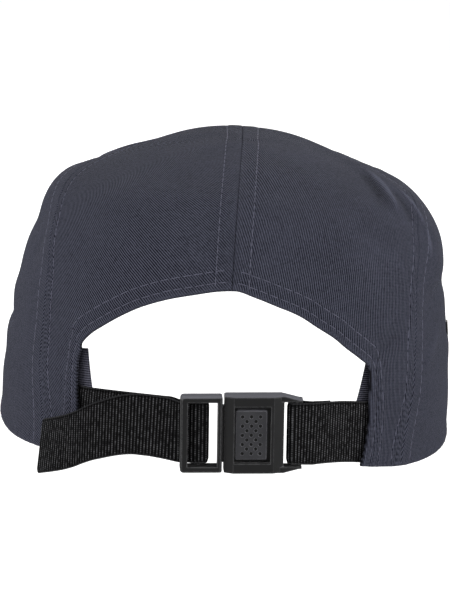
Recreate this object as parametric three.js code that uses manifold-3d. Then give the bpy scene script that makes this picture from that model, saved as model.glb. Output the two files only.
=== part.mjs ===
// Five panel cap: a soft twill crown of five panels, a sweatband, a peak, and a webbing strap with a
// side-release buckle across the rear opening. Millimetres, +Z up. The back faces -Y, the peak points
// along +Y and +X is the wearer's right. The origin is the centre of the head opening at the rim.
import * as THREE from 'three';
import Module from 'manifold-3d';
import { mergeVertices } from 'three/addons/utils/BufferGeometryUtils.js';

const wasm = await Module();
wasm.setup();

// Crown
const HALF_WIDTH = 88.5;
const BACK_REACH = 95;
const FRONT_REACH = 95;
const CROWN_HEIGHT = 112;
const OVAL_POWER = 2.05;
const RIM_RISE_BACK = 15.2;
const RIM_RISE_FRONT = 29.2;
const CROWN_LEAN = 1.8;
const LEAN_CENTRE = 0.3;
const WALL = 1.6;
const CLEARANCE = 0.3;
const SEAM_GAP = 0.3;
const FOLD_DEPTH = 2.5;

// Seams between the panels: where they stand on the rim, in degrees from the back, and where they meet
const FRONT_SEAM_AROUND = 125;
const FULL_TURN = 360;
const TOP_SEAM_CENTRE = 0.70;
const SIDE_PANEL_TOP = 7;

// Rear opening
const OPENING_HEIGHT = 73.8;
const OPENING_LEFT = 56;
const OPENING_RIGHT = 54;

// Sweatband
const BAND_HEIGHT = 39;
const BAND_WALL = 1.4;
const BAND_RAISED = 0.6;
const BAND_END_SHOWN = 10.7;
const BAND_END_SLANT = 13;
const BAND_END_RAISED = 3;
const BAND_STRAP_RUN = 12;

// Peak
const PEAK_DEPTH = 70;
const PEAK_WALL = 2.8;
const PEAK_START = 116;
const PEAK_CORNER = 7;
const PEAK_DROP = 5;
const PEAK_OUTLINE_POWER = 2.3;

// Webbing straps
const STRAP_WIDTH = 23.6;
const STRAP_WALL = 1.2;
const STRAP_SEWN = 8;
const STRAP_EDGE_HEIGHT = 19.5;
const STRAP_BESIDE_BUCKLE = 22.7;
const STRAP_RAISED_LEFT = 0.3;
const FREE_END_REACH = 66;
const FREE_END_HEIGHT = 5.1;
const FREE_END_LEAN = 10;
const FREE_END_SLANT = 4.5;
const FREE_END_STAND = 1.6;
const RETURN_LAYER_END = 40;
const STRAP_LEAD = 4;
const STRAP_SETTLE = 7;

// Buckle
const BUCKLE_X = 5.6;
const BUCKLE_Z = 21.8;
const BUCKLE_ROLL = 2;
const BUCKLE_WIDTH = 45;
const BUCKLE_HEIGHT = 29.8;
const BUCKLE_DEPTH = 6.6;
const BUCKLE_GAP = 0.7;
const FRAME_WIDTH = 15.5;
const FRAME_HEIGHT = 29.4;
const FRAME_DEPTH = 5.2;
const FRAME_BAR = 2.7;
const FRAME_BAR_DEPTH = 2.4;
const FRAME_INNER_BAR = 1.7;
const FRAME_CORNER = 1.6;
const FRAME_INNER_CORNER = 0.9;
const SLOT_HEIGHT = 24.8;
const ADJUSTER_BAR = 3.8;
const ADJUSTER_BAR_DEPTH = 1.8;
const ADJUSTER_BAR_X = 7.4;
const ADJUSTER_BAR_BACK = 1.5;
const HOUSING_BODY = 22;
const HOUSING_BAR_X = 25.8;
const HOUSING_BAR = 2.4;
const HOUSING_BAR_BACK = 0.9;
const HOUSING_FLANGE_DEPTH = 4.6;
const FLANGE_OVERLAP = 2;
const FLANGE_ROUND = 1.2;
const FLANGE_TAPER = 1.5;
const FLANGE_TIP = 0.9;
const FLANGE_BEVEL = 0.3;
const LEFT_FACET = 3.4;
const RIGHT_FACET = 3.8;
const FACET_DROP = 1.5;
const CAVITY_HEIGHT = 22.8;
const CAVITY_DEPTH = 3;
const CAVITY_END = 19.5;
const WINDOW_X = 10.4;
const WINDOW_WIDTH = 13.4;
const WINDOW_HEIGHT = 21.8;
const TONGUE_DEPTH = 1.6;
const TONGUE_MARGIN = 0.5;
const PAD_WIDTH = 11.8;
const PAD_HEIGHT = 19;
const PAD_SHIFT = 0.5;
const PAD_RECESS = 0.5;
const PAD_CORNER = 0.8;
const PAD_BEVEL = 0.3;
const DIMPLE_RADIUS = 0.7;
const DIMPLE_DEPTH = 0.35;
const DIMPLE_PITCH = 3.3;
const DIMPLE_ROW_PITCH = 1.77;
const DIMPLE_ROWS = 9;
const EDGE_BEVEL = 0.6;

// Eyelets
const EYELET_HEIGHT = 42.5;
const EYELET_FLANGE = 3.1;
const EYELET_FLANGE_WALL = 0.5;
const EYELET_BARREL = 2.2;
const EYELET_BORE = 1.5;
const EYELET_SPACING = 28;
const EYELET_FORWARD_RIGHT = -5;
const EYELET_FORWARD_LEFT = 9;

// Cross sections of the crown, from the rim to the top. along is the share of the way up the cloth;
// up, side, back and front are shares of the crown's height, half width and reaches.
const CROWN_RINGS = [
  { along: 0.000, up: 0.000, side: 1.000, back: 1.000, front: 1.000 },
  { along: 0.125, up: 0.190, side: 0.990, back: 0.990, front: 0.997 },
  { along: 0.250, up: 0.380, side: 0.961, back: 0.955, front: 0.977 },
  { along: 0.370, up: 0.560, side: 0.930, back: 0.895, front: 0.929 },
  { along: 0.475, up: 0.720, side: 0.883, back: 0.800, front: 0.841 },
  { along: 0.580, up: 0.840, side: 0.754, back: 0.675, front: 0.721 },
  { along: 0.710, up: 0.920, side: 0.506, back: 0.520, front: 0.562 },
  { along: 0.850, up: 0.975, side: 0.276, back: 0.290, front: 0.374 },
  { along: 1.000, up: 1.000, side: 0.000, back: 0.000, front: 0.000 },
];

// The seam between a back panel and a side panel: degrees from the back at each share of the way up
const SIDE_SEAM = [
  { along: 0.00, around: 47 },
  { along: 0.10, around: 49 },
  { along: 0.21, around: 52.8 },
  { along: 0.32, around: 55 },
  { along: 0.41, around: 58 },
  { along: 0.47, around: 62.5 },
  { along: 0.52, around: 68 },
  { along: 0.56, around: 76.5 },
  { along: 0.593, around: 87 },
  { along: 0.622, around: 98 },
  { along: 0.650, around: 109 },
  { along: 0.665, around: 121 },
];

// Half of the rear opening's edge, from the rim to the centre seam: shares of the way up to the top
// of the opening, and of its half width on each side
const OPENING_EDGE = [
  { climb: 0.00, left: 0.970, right: 0.968 },
  { climb: 0.10, left: 0.975, right: 0.991 },
  { climb: 0.26, left: 0.984, right: 1.008 },
  { climb: 0.42, left: 1.002, right: 1.003 },
  { climb: 0.54, left: 1.004, right: 0.999 },
  { climb: 0.60, left: 0.988, right: 0.977 },
  { climb: 0.64, left: 0.986, right: 0.919 },
  { climb: 0.70, left: 0.930, right: 0.817 },
  { climb: 0.76, left: 0.840, right: 0.724 },
  { climb: 0.82, left: 0.736, right: 0.601 },
  { climb: 0.88, left: 0.608, right: 0.477 },
  { climb: 0.93, left: 0.449, right: 0.312 },
  { climb: 0.97, left: 0.243, right: 0.164 },
];

// Soft folds of the crown: the dent of the left side, the fold over the right shoulder, the one down the
// right side and the fullness beside it. Each runs between two places given as degrees from the back and
// share of the way up; width is a length on the flat map and depth a share of the fold depth.
const FOLDS = [
  { around: -104, along: 0.455, toAround: -72, toAlong: 0.44, width: 0.055, depth: -0.95 },
  { around: 100, along: 0.68, toAround: 69, toAlong: 0.59, width: 0.040, depth: 0.5 },
  { around: 84, along: 0.60, toAround: 72, toAlong: 0.46, width: 0.050, depth: 0.5 },
  { around: 104, along: 0.48, toAround: 80, toAlong: 0.47, width: 0.120, depth: 0.4 },
  { around: -118, along: 0.60, toAround: -142, toAlong: 0.67, width: 0.075, depth: -0.75 },
  { around: -88, along: 0.51, toAround: -106, toAlong: 0.55, width: 0.050, depth: 0.55 },
  { around: 142, along: 0.66, toAround: 125, toAlong: 0.605, width: 0.070, depth: -0.90 },
];

// Height of the free end's middle line and its place, from the buckle to the hem, as shares of the drop
const FREE_END_FALL = [
  { out: 0.00, drop: 0.00 },
  { out: 0.35, drop: 0.05 },
  { out: 0.60, drop: 0.34 },
  { out: 0.78, drop: 0.69 },
  { out: 1.00, drop: 1.00 },
];

const TWILL = { color: 0x3e3f48, roughness: 0.9, metalness: 0 };
const WEBBING = { color: 0x222224, roughness: 0.85, metalness: 0 };
const PLASTIC = { color: 0x303032, roughness: 0.45, metalness: 0 };
const BLACK_METAL = { color: 0x2a2a2c, roughness: 0.35, metalness: 0.8 };

const rad = THREE.MathUtils.degToRad;
const lerp = THREE.MathUtils.lerp;
const clamp = THREE.MathUtils.clamp;

// A smooth curve through one column of a table, read at a value of its key column
function readRows(rows, key, column, at) {
  let i = 0;
  while (i < rows.length - 2 && rows[i + 1][key] <= at) i += 1;
  const slope = (k) => {
    const before = rows[Math.max(k - 1, 0)];
    const after = rows[Math.min(k + 1, rows.length - 1)];
    return (after[column] - before[column]) / (after[key] - before[key]);
  };
  const a = rows[i];
  const b = rows[i + 1];
  const span = b[key] - a[key];
  const s = (at - a[key]) / span;
  const bend = s * s * (3 - 2 * s);
  const leave = s * (1 - s) * (1 - s) * span * slope(i);
  const arrive = s * s * (s - 1) * span * slope(i + 1);
  return lerp(a[column], b[column], bend) + leave + arrive;
}

// The table is carried over the top, so that the crown is round there
const overTop = CROWN_RINGS[CROWN_RINGS.length - 2];
const RINGS_OVER_TOP = [
  ...CROWN_RINGS,
  {
    along: 2 - overTop.along,
    up: overTop.up,
    side: -overTop.side,
    back: -overTop.back,
    front: -overTop.front,
  },
];

// Smallest value between low and high at which a rising function reaches the target
function solve(target, low, high, rising) {
  for (let i = 0; i < 40; i += 1) {
    const middle = (low + high) / 2;
    if (rising(middle) < target) low = middle;
    else high = middle;
  }
  return (low + high) / 2;
}

// The crown's base surface. along runs from 0 at the rim to 1 at the top, around from 0 at the back
// through a quarter turn at +X to half a turn at the front.
function crownBase(along, around) {
  const column = (name) => readRows(RINGS_OVER_TOP, 'along', name, along);
  const behind = Math.cos(around) >= 0;
  const depth = behind ? BACK_REACH * column('back') : FRONT_REACH * column('front');
  const side = HALF_WIDTH * column('side');
  const sideways = Math.abs(Math.sin(around) / side) ** OVAL_POWER;
  const sum = sideways + Math.abs(Math.cos(around) / depth) ** OVAL_POWER;
  const reach = sum ** (-1 / OVAL_POWER);
  const rise = behind ? RIM_RISE_BACK * Math.cos(around) ** 4 : RIM_RISE_FRONT * Math.cos(around) ** 2;
  const up = CROWN_HEIGHT * column('up') + rise * (1 - along) ** 2;
  const lean = CROWN_LEAN * (along - LEAN_CENTRE);
  return new THREE.Vector3(reach * Math.sin(around) + lean, -reach * Math.cos(around), up);
}

// The crown is laid out on a flat map: the top is its centre and the rim is the circle of radius 1
function toMap(along, around) {
  return new THREE.Vector2((1 - along) * Math.sin(around), -(1 - along) * Math.cos(around));
}

function mapBase(place) {
  const radius = Math.max(place.length(), 1e-5);
  return crownBase(1 - radius, Math.atan2(place.x, -place.y));
}

function mapNormal(place) {
  const step = 0.002;
  const across = mapBase(new THREE.Vector2(place.x + step, place.y));
  across.sub(mapBase(new THREE.Vector2(place.x - step, place.y)));
  const along = mapBase(new THREE.Vector2(place.x, place.y + step));
  along.sub(mapBase(new THREE.Vector2(place.x, place.y - step)));
  return across.cross(along).normalize();
}

// How far the folds push the cloth out at a place of the map. The sweatband keeps the cloth smooth
// round the rim.
function foldHeight(place) {
  const bandTop = BAND_RAISED + BAND_HEIGHT + FOLD_DEPTH;
  const free = THREE.MathUtils.smoothstep(mapBase(place).z, bandTop, bandTop + 4 * FOLD_DEPTH);
  let height = 0;
  for (const fold of FOLDS) {
    const from = toMap(fold.along, rad(fold.around));
    const run = toMap(fold.toAlong, rad(fold.toAround)).sub(from);
    const share = clamp(place.clone().sub(from).dot(run) / run.lengthSq(), 0, 1);
    const away = place.distanceTo(from.addScaledVector(run, share)) / fold.width;
    height += FOLD_DEPTH * fold.depth * Math.exp(-away * away);
  }
  return height * free;
}

// A point of the cloth, moved out along the base surface's normal by an offset
function cloth(place, offset) {
  return mapBase(place).addScaledVector(mapNormal(place), foldHeight(place) + offset);
}

// A flat curve through points, read by its share of length
function smoothLine(points, samples = 160) {
  return evenLine(new THREE.SplineCurve(points).getPoints(samples));
}

function evenLine(points) {
  const lengths = [0];
  for (let i = 1; i < points.length; i += 1) {
    lengths.push(lengths[i - 1] + points[i].distanceTo(points[i - 1]));
  }
  const total = lengths[lengths.length - 1];
  const line = (share) => {
    const want = clamp(share, 0, 1) * total;
    let i = 1;
    while (i < lengths.length - 1 && lengths[i] < want) i += 1;
    const part = (want - lengths[i - 1]) / Math.max(lengths[i] - lengths[i - 1], 1e-9);
    return points[i - 1].clone().lerp(points[i], part);
  };
  line.points = points;
  return line;
}

const mirrored = (line) => (share) => {
  const point = line(share);
  return new THREE.Vector2(-point.x, point.y);
};

// A closed sheet: a grid of outer points and the matching grid of inner points
function sheetGeometry(outer, inner) {
  const rows = outer.length;
  const columns = outer[0].length;
  const positions = [];
  const faces = [];
  for (const grid of [outer, inner]) {
    for (const row of grid) {
      for (const point of row) positions.push(point.x, point.y, point.z);
    }
  }
  const out = (i, j) => i * columns + j;
  const back = (i, j) => rows * columns + i * columns + j;
  const quad = (a, b, c, d) => faces.push(a, b, c, a, c, d);
  for (let i = 0; i < rows - 1; i += 1) {
    for (let j = 0; j < columns - 1; j += 1) {
      quad(out(i, j), out(i + 1, j), out(i + 1, j + 1), out(i, j + 1));
      quad(back(i, j), back(i, j + 1), back(i + 1, j + 1), back(i + 1, j));
    }
  }
  for (let i = 0; i < rows - 1; i += 1) {
    quad(out(i, 0), back(i, 0), back(i + 1, 0), out(i + 1, 0));
    quad(out(i + 1, columns - 1), back(i + 1, columns - 1), back(i, columns - 1), out(i, columns - 1));
  }
  for (let j = 0; j < columns - 1; j += 1) {
    quad(out(0, j + 1), back(0, j + 1), back(0, j), out(0, j));
    quad(out(rows - 1, j), back(rows - 1, j), back(rows - 1, j + 1), out(rows - 1, j + 1));
  }
  const geometry = new THREE.BufferGeometry();
  geometry.setAttribute('position', new THREE.Float32BufferAttribute(positions, 3));
  geometry.setIndex(faces);
  return outwards(geometry);
}

function signedVolume(geometry) {
  const p = geometry.attributes.position;
  const index = geometry.index;
  const a = new THREE.Vector3();
  const b = new THREE.Vector3();
  const c = new THREE.Vector3();
  let volume = 0;
  for (let i = 0; i < index.count; i += 3) {
    a.fromBufferAttribute(p, index.getX(i));
    b.fromBufferAttribute(p, index.getX(i + 1));
    c.fromBufferAttribute(p, index.getX(i + 2));
    volume += a.dot(b.cross(c)) / 6;
  }
  return volume;
}

function outwards(geometry) {
  if (signedVolume(geometry) >= 0) return geometry;
  const index = geometry.index;
  for (let i = 0; i < index.count; i += 3) {
    const second = index.getX(i + 1);
    index.setX(i + 1, index.getX(i + 2));
    index.setX(i + 2, second);
  }
  return geometry;
}

function toSolid(geometry) {
  const bare = geometry.clone();
  bare.deleteAttribute('normal');
  bare.deleteAttribute('uv');
  const merged = mergeVertices(bare, 1e-4);
  return new wasm.Manifold(new wasm.Mesh({
    numProp: 3,
    vertProperties: new Float32Array(merged.attributes.position.array),
    triVerts: new Uint32Array(merged.index.array),
  }));
}

function fromSolid(solid) {
  const mesh = solid.getMesh();
  const geometry = new THREE.BufferGeometry();
  geometry.setAttribute('position', new THREE.BufferAttribute(new Float32Array(mesh.vertProperties), 3));
  geometry.setIndex(new THREE.BufferAttribute(new Uint32Array(mesh.triVerts), 1));
  return geometry;
}

const cap = new THREE.Group();

function addMesh(name, geometry, look) {
  const mesh = new THREE.Mesh(geometry, new THREE.MeshStandardMaterial(look));
  mesh.name = name;
  cap.add(mesh);
  return mesh;
}

// A panel between four lines of the map. low and high run from the first line to the last one.
function panelGeometry({ low, high, first, last, rows, columns }) {
  const place = (u, v) => {
    const across = low(u).clone().multiplyScalar(1 - v).addScaledVector(high(u), v);
    const along = first(v).clone().multiplyScalar(1 - u).addScaledVector(last(v), u);
    const corners = low(0).clone().multiplyScalar((1 - u) * (1 - v));
    corners.addScaledVector(low(1), u * (1 - v));
    corners.addScaledVector(high(0), (1 - u) * v);
    corners.addScaledVector(high(1), u * v);
    return across.add(along).sub(corners);
  };
  const span = (a, b) => mapBase(a).distanceTo(mapBase(b));
  const inset = (share, length) => lerp(SEAM_GAP / 2 / length, 1 - SEAM_GAP / 2 / length, share);
  const outer = [];
  const inner = [];
  for (let i = 0; i <= rows; i += 1) {
    const outerRow = [];
    const innerRow = [];
    for (let j = 0; j <= columns; j += 1) {
      const u = inset(i / rows, span(place(0, j / columns), place(1, j / columns)));
      const v = inset(j / columns, span(place(i / rows, 0), place(i / rows, 1)));
      const at = place(u, v);
      outerRow.push(cloth(at, 0));
      innerRow.push(cloth(at, -WALL));
    }
    outer.push(outerRow);
    inner.push(innerRow);
  }
  return sheetGeometry(outer, inner);
}

// Seam lines on the map, for the +X side
const backOfRim = (degrees) => toMap(0, rad(degrees));
const topSeam = evenLine(new THREE.SplineCurve([
  new THREE.Vector2(0, 1 - TOP_SEAM_CENTRE),
  toMap(0.697, rad(165)),
  toMap(0.68, rad(148)),
  toMap(0.655, rad(134)),
]).getPoints(80));
const topSeamLength = evenLineLength(topSeam);
const panelTopShare = 1 - SIDE_PANEL_TOP / topSeamLength;

function evenLineLength(line) {
  let total = 0;
  for (let i = 1; i < line.points.length; i += 1) {
    total += mapBase(line.points[i]).distanceTo(mapBase(line.points[i - 1]));
  }
  return total;
}

function part(line, from, to) {
  return (share) => line(lerp(from, to, share));
}

const sideSeam = smoothLine([
  ...SIDE_SEAM.map((row) => toMap(row.along, rad(row.around))),
  topSeam(panelTopShare),
]);
const frontSeam = smoothLine([
  backOfRim(FRONT_SEAM_AROUND),
  toMap(0.30, rad(126.5)),
  toMap(0.52, rad(130)),
  topSeam(1),
]);

function rimLine(from, to) {
  return (share) => toMap(0, rad(lerp(from, to, share)));
}

// Degrees from the back at which a ring of the crown stands a distance out to the side
function aroundAt(along, x) {
  const side = HALF_WIDTH * readRows(RINGS_OVER_TOP, 'along', 'side', along);
  const depth = BACK_REACH * readRows(RINGS_OVER_TOP, 'along', 'back', along);
  const y = depth * (1 - Math.abs(x / side) ** OVAL_POWER) ** (1 / OVAL_POWER);
  return Math.atan2(x, y);
}

const openingTop = solve(OPENING_HEIGHT, 0, 0.9, (along) => crownBase(along, 0).z);

function openingLine(column, halfWidth, direction) {
  const half = OPENING_EDGE.map((row) => {
    const along = row.climb * openingTop;
    return toMap(along, direction * aroundAt(along, row[column] * halfWidth));
  });
  const top = toMap(openingTop, 0);
  const past = half.slice(-2).reverse().map((point) => new THREE.Vector2(-point.x, point.y));
  const curve = new THREE.SplineCurve([...half, top, ...past]);
  const samples = 40 * (half.length + past.length);
  const topIndex = (samples * half.length) / (half.length + past.length);
  return evenLine(curve.getPoints(samples).slice(0, topIndex + 1).reverse());
}

const openingRight = openingLine('right', OPENING_RIGHT, 1);
const openingLeft = openingLine('left', OPENING_LEFT, -1);

// Degrees from the back of a point of the map
const aroundOf = (point) => THREE.MathUtils.radToDeg(Math.atan2(point.x, -point.y));

// Back panels: a fan from the opening's edge out to the top seam and the side seam
function backPanel(opening, side) {
  const outline = [];
  for (let i = 0; i <= 60; i += 1) outline.push(topSeam((i / 60) * panelTopShare));
  for (let i = 1; i <= 120; i += 1) outline.push(sideSeam(1 - i / 120));
  const outerLine = evenLine(outline.map((point) => new THREE.Vector2(side * point.x, point.y)));
  const centre = evenLine([opening(0), new THREE.Vector2(0, 1 - TOP_SEAM_CENTRE)]);
  const foot = Math.abs(aroundOf(opening(1)));
  return panelGeometry({
    low: opening,
    high: outerLine,
    first: centre,
    last: (share) => toMap(0, side * rad(lerp(foot, SIDE_SEAM[0].around, share))),
    rows: 28,
    columns: 10,
  });
}

addMesh('back_panel_right', backPanel(openingRight, 1), TWILL);
addMesh('back_panel_left', backPanel(openingLeft, -1), TWILL);

// Front panel
addMesh('front_panel', panelGeometry({
  low: rimLine(FULL_TURN - FRONT_SEAM_AROUND, FRONT_SEAM_AROUND),
  high: (share) => (share < 0.5 ? mirrored(topSeam)(1 - 2 * share) : topSeam(2 * share - 1)),
  first: mirrored(frontSeam),
  last: frontSeam,
  rows: 20,
  columns: 12,
}), TWILL);

// Eyelets: a rolled metal ring through a hole in a side panel
function placeOnCrown(height, around) {
  const along = solve(height, 0, 0.6, (share) => crownBase(share, around).z);
  return toMap(along, around);
}

function eyeletPlace(side, forward) {
  const reach = solve(forward, Math.PI / 4, Math.PI * 0.75, (around) => (
    mapBase(placeOnCrown(EYELET_HEIGHT, around)).y
  ));
  return placeOnCrown(EYELET_HEIGHT, side * reach);
}

function eyeletGeometry() {
  const shell = EYELET_FLANGE_WALL;
  const under = CLEARANCE;
  const inside = -WALL;
  const profile = [
    [EYELET_BORE, inside],
    [EYELET_BARREL, inside],
    [EYELET_BARREL, under],
    [EYELET_FLANGE, under],
    [EYELET_FLANGE, under + shell * 0.5],
    [EYELET_FLANGE - shell * 0.6, under + shell],
    [EYELET_BARREL - shell * 0.4, under + shell],
    [EYELET_BORE, under + shell * 0.4],
    [EYELET_BORE, inside],
  ].map(([radius, height]) => new THREE.Vector2(radius, height));
  const geometry = new THREE.LatheGeometry(profile, 16);
  geometry.rotateX(Math.PI / 2);
  return outwards(fromSolid(toSolid(geometry)));
}

function alongNormal(place) {
  const turn = new THREE.Quaternion().setFromUnitVectors(new THREE.Vector3(0, 0, 1), mapNormal(place));
  return new THREE.Matrix4().compose(cloth(place, 0), turn, new THREE.Vector3(1, 1, 1));
}

function punch(geometry, places) {
  let solid = toSolid(geometry);
  for (const place of places) {
    const drillRadius = EYELET_BARREL + CLEARANCE;
    const drill = new THREE.CylinderGeometry(drillRadius, drillRadius, 6 * WALL, 16);
    drill.rotateX(Math.PI / 2);
    drill.applyMatrix4(alongNormal(place));
    solid = solid.subtract(toSolid(drill));
  }
  return fromSolid(solid);
}

// Side panels
function sidePanel(side) {
  const turned = (line) => (side > 0 ? line : mirrored(line));
  return panelGeometry({
    low: rimLine(side * SIDE_SEAM[0].around, side * FRONT_SEAM_AROUND),
    high: turned(part(topSeam, panelTopShare, 1)),
    first: turned(sideSeam),
    last: turned(frontSeam),
    rows: 14,
    columns: 18,
  });
}

const EYELET_SIDES = [
  { name: 'right', side: 1, forward: EYELET_FORWARD_RIGHT },
  { name: 'left', side: -1, forward: EYELET_FORWARD_LEFT },
];
for (const { name, side, forward } of EYELET_SIDES) {
  const places = [forward, forward + EYELET_SPACING].map((y) => eyeletPlace(side, y));
  addMesh(`side_panel_${name}`, punch(sidePanel(side), places), TWILL);
  places.forEach((place, i) => {
    const eyelet = addMesh(`eyelet_${name}_${i + 1}`, eyeletGeometry(), BLACK_METAL);
    eyelet.applyMatrix4(alongNormal(place));
  });
}

// Sweatband: it follows the inside of the panels, lies behind the straps at its two ends, and stops
// a little past the edges of the opening
const bandStartRight = aroundOf(openingRight(0.85));
const bandStartLeft = -aroundOf(openingLeft(0.85));
const DEGREE_LENGTH = (Math.PI * (HALF_WIDTH + BACK_REACH)) / FULL_TURN;

function bandGeometry() {
  const rows = 64;
  const columns = 3;
  const from = bandStartRight - BAND_END_SHOWN / DEGREE_LENGTH;
  const to = FULL_TURN - bandStartLeft + BAND_END_SHOWN / DEGREE_LENGTH;
  const outer = [];
  const inner = [];
  for (let i = 0; i <= rows; i += 1) {
    const outerRow = [];
    const innerRow = [];
    for (let j = 0; j <= columns; j += 1) {
      const up = j / columns;
      const slant = (BAND_END_SLANT * up) / DEGREE_LENGTH;
      const around = lerp(from + slant, to - slant, i / rows);
      const inRun = Math.min(around - from, to - around) * DEGREE_LENGTH - BAND_END_SHOWN - BAND_STRAP_RUN;
      const apart = 1 - THREE.MathUtils.smoothstep(inRun, 0, BAND_STRAP_RUN);
      const behindStrap = (STRAP_WALL + CLEARANCE) * apart;
      const rimHeight = crownBase(0, rad(around)).z;
      const height = rimHeight + lerp(BAND_RAISED + BAND_END_RAISED * apart, BAND_RAISED + BAND_HEIGHT, up);
      const place = placeOnCrown(height, rad(around));
      const offset = -WALL - CLEARANCE - behindStrap;
      outerRow.push(cloth(place, offset));
      innerRow.push(cloth(place, offset - BAND_WALL));
    }
    outer.push(outerRow);
    inner.push(innerRow);
  }
  return sheetGeometry(outer, inner);
}

addMesh('sweatband', bandGeometry(), TWILL);

// Peak: a curved board under the front rim
function peakGeometry() {
  const rows = 26;
  const columns = 8;
  const corner = crownBase(0, rad(PEAK_START));
  const cornerX = corner.x - WALL;
  const tip = FRONT_REACH + PEAK_DEPTH;
  const outer = [];
  const inner = [];
  for (let i = 0; i <= rows; i += 1) {
    const around = rad(lerp(FULL_TURN - PEAK_START, PEAK_START, i / rows));
    const place = toMap(0, around);
    const start = mapBase(place).addScaledVector(mapNormal(place), -WALL);
    start.z = crownBase(0, around).z - CLEARANCE;
    const inside = Math.max(1 - Math.abs(start.x / cornerX) ** PEAK_OUTLINE_POWER, 0);
    const bulge = inside ** (1 / PEAK_OUTLINE_POWER);
    const end = lerp(corner.y, tip, bulge) + PEAK_CORNER;
    const run = Math.max(end - start.y, PEAK_CORNER) - PEAK_CORNER * bulge;
    const topRow = [];
    const underRow = [];
    for (let j = 0; j <= columns; j += 1) {
      const out = (j / columns) * run;
      const drop = Math.tan(rad(PEAK_DROP)) * out;
      const top = new THREE.Vector3(start.x, start.y + out, start.z - drop);
      topRow.push(top);
      underRow.push(top.clone().add(new THREE.Vector3(0, 0, -PEAK_WALL)));
    }
    outer.push(topRow);
    inner.push(underRow);
  }
  return sheetGeometry(outer, inner);
}

addMesh('peak', peakGeometry(), TWILL);

// Buckle: built about its own centre plane, x along the strap, y towards the head, z up
const layerGap = STRAP_WALL + CLEARANCE;
const loadLayerBack = ADJUSTER_BAR_BACK + ADJUSTER_BAR_DEPTH / 2 + CLEARANCE + STRAP_WALL / 2;
const buckleLeft = BUCKLE_X - BUCKLE_WIDTH / 2;
const housingLeft = FRAME_WIDTH + BUCKLE_GAP;
const housingWidth = BUCKLE_WIDTH - housingLeft;

// The strap's load layer lies inside the crown's surface, carried on across the opening
const strapInset = -WALL - CLEARANCE - STRAP_WALL / 2;

function strapPlace(x, z) {
  const around = solve(x, -rad(80), rad(80), (angle) => mapBase(placeOnCrown(z, angle)).x);
  return placeOnCrown(z, around);
}

// The buckle lies along the chord between the two places where its ends meet the strap's line
const chordStart = cloth(strapPlace(buckleLeft, BUCKLE_Z), strapInset);
const chordEnd = cloth(strapPlace(buckleLeft + BUCKLE_WIDTH, BUCKLE_Z), strapInset);
const buckle = new THREE.Group();
const buckleTurn = Math.atan2(chordEnd.y - chordStart.y, chordEnd.x - chordStart.x);
buckle.rotation.set(0, -rad(BUCKLE_ROLL), buckleTurn, 'ZYX');
buckle.position.set(chordStart.x, chordStart.y, BUCKLE_Z);
buckle.translateY(-loadLayerBack);
buckle.updateMatrix();
cap.add(buckle);

function box(width, depth, height, x, y, z) {
  const geometry = new THREE.BoxGeometry(width, depth, height);
  geometry.translate(x, y, z);
  return toSolid(geometry);
}

// A shape drawn as seen from behind the cap, extruded from the front face to the back face
function frontSlab(shape, front, depth, bevel) {
  const geometry = new THREE.ExtrudeGeometry(shape, {
    depth: depth - 2 * bevel,
    bevelThickness: bevel,
    bevelSize: bevel,
    bevelOffset: -bevel,
    bevelSegments: 1,
    curveSegments: 4,
  });
  geometry.rotateX(Math.PI / 2);
  geometry.translate(0, front + depth - bevel, 0);
  return toSolid(geometry);
}

function roundedBox(x0, x1, height, radius, rightRadius = radius) {
  const top = height / 2;
  const shape = new THREE.Shape();
  shape.moveTo(x0 + radius, -top);
  shape.lineTo(x1 - rightRadius, -top);
  shape.quadraticCurveTo(x1, -top, x1, -top + rightRadius);
  shape.lineTo(x1, top - rightRadius);
  shape.quadraticCurveTo(x1, top, x1 - rightRadius, top);
  shape.lineTo(x0 + radius, top);
  shape.quadraticCurveTo(x0, top, x0, top - radius);
  shape.lineTo(x0, -top + radius);
  shape.quadraticCurveTo(x0, -top, x0 + radius, -top);
  return shape;
}

// An upright bar with round sides
function roundBar(width, depth, height) {
  const radius = depth / 2;
  const flat = width / 2 - radius;
  const shape = new THREE.Shape();
  shape.absarc(flat, 0, radius, -Math.PI / 2, Math.PI / 2);
  shape.absarc(-flat, 0, radius, Math.PI / 2, Math.PI * 1.5);
  const settings = { depth: height, bevelEnabled: false, curveSegments: 6 };
  const geometry = new THREE.ExtrudeGeometry(shape, settings);
  geometry.translate(0, 0, -height / 2);
  return geometry;
}

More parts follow.
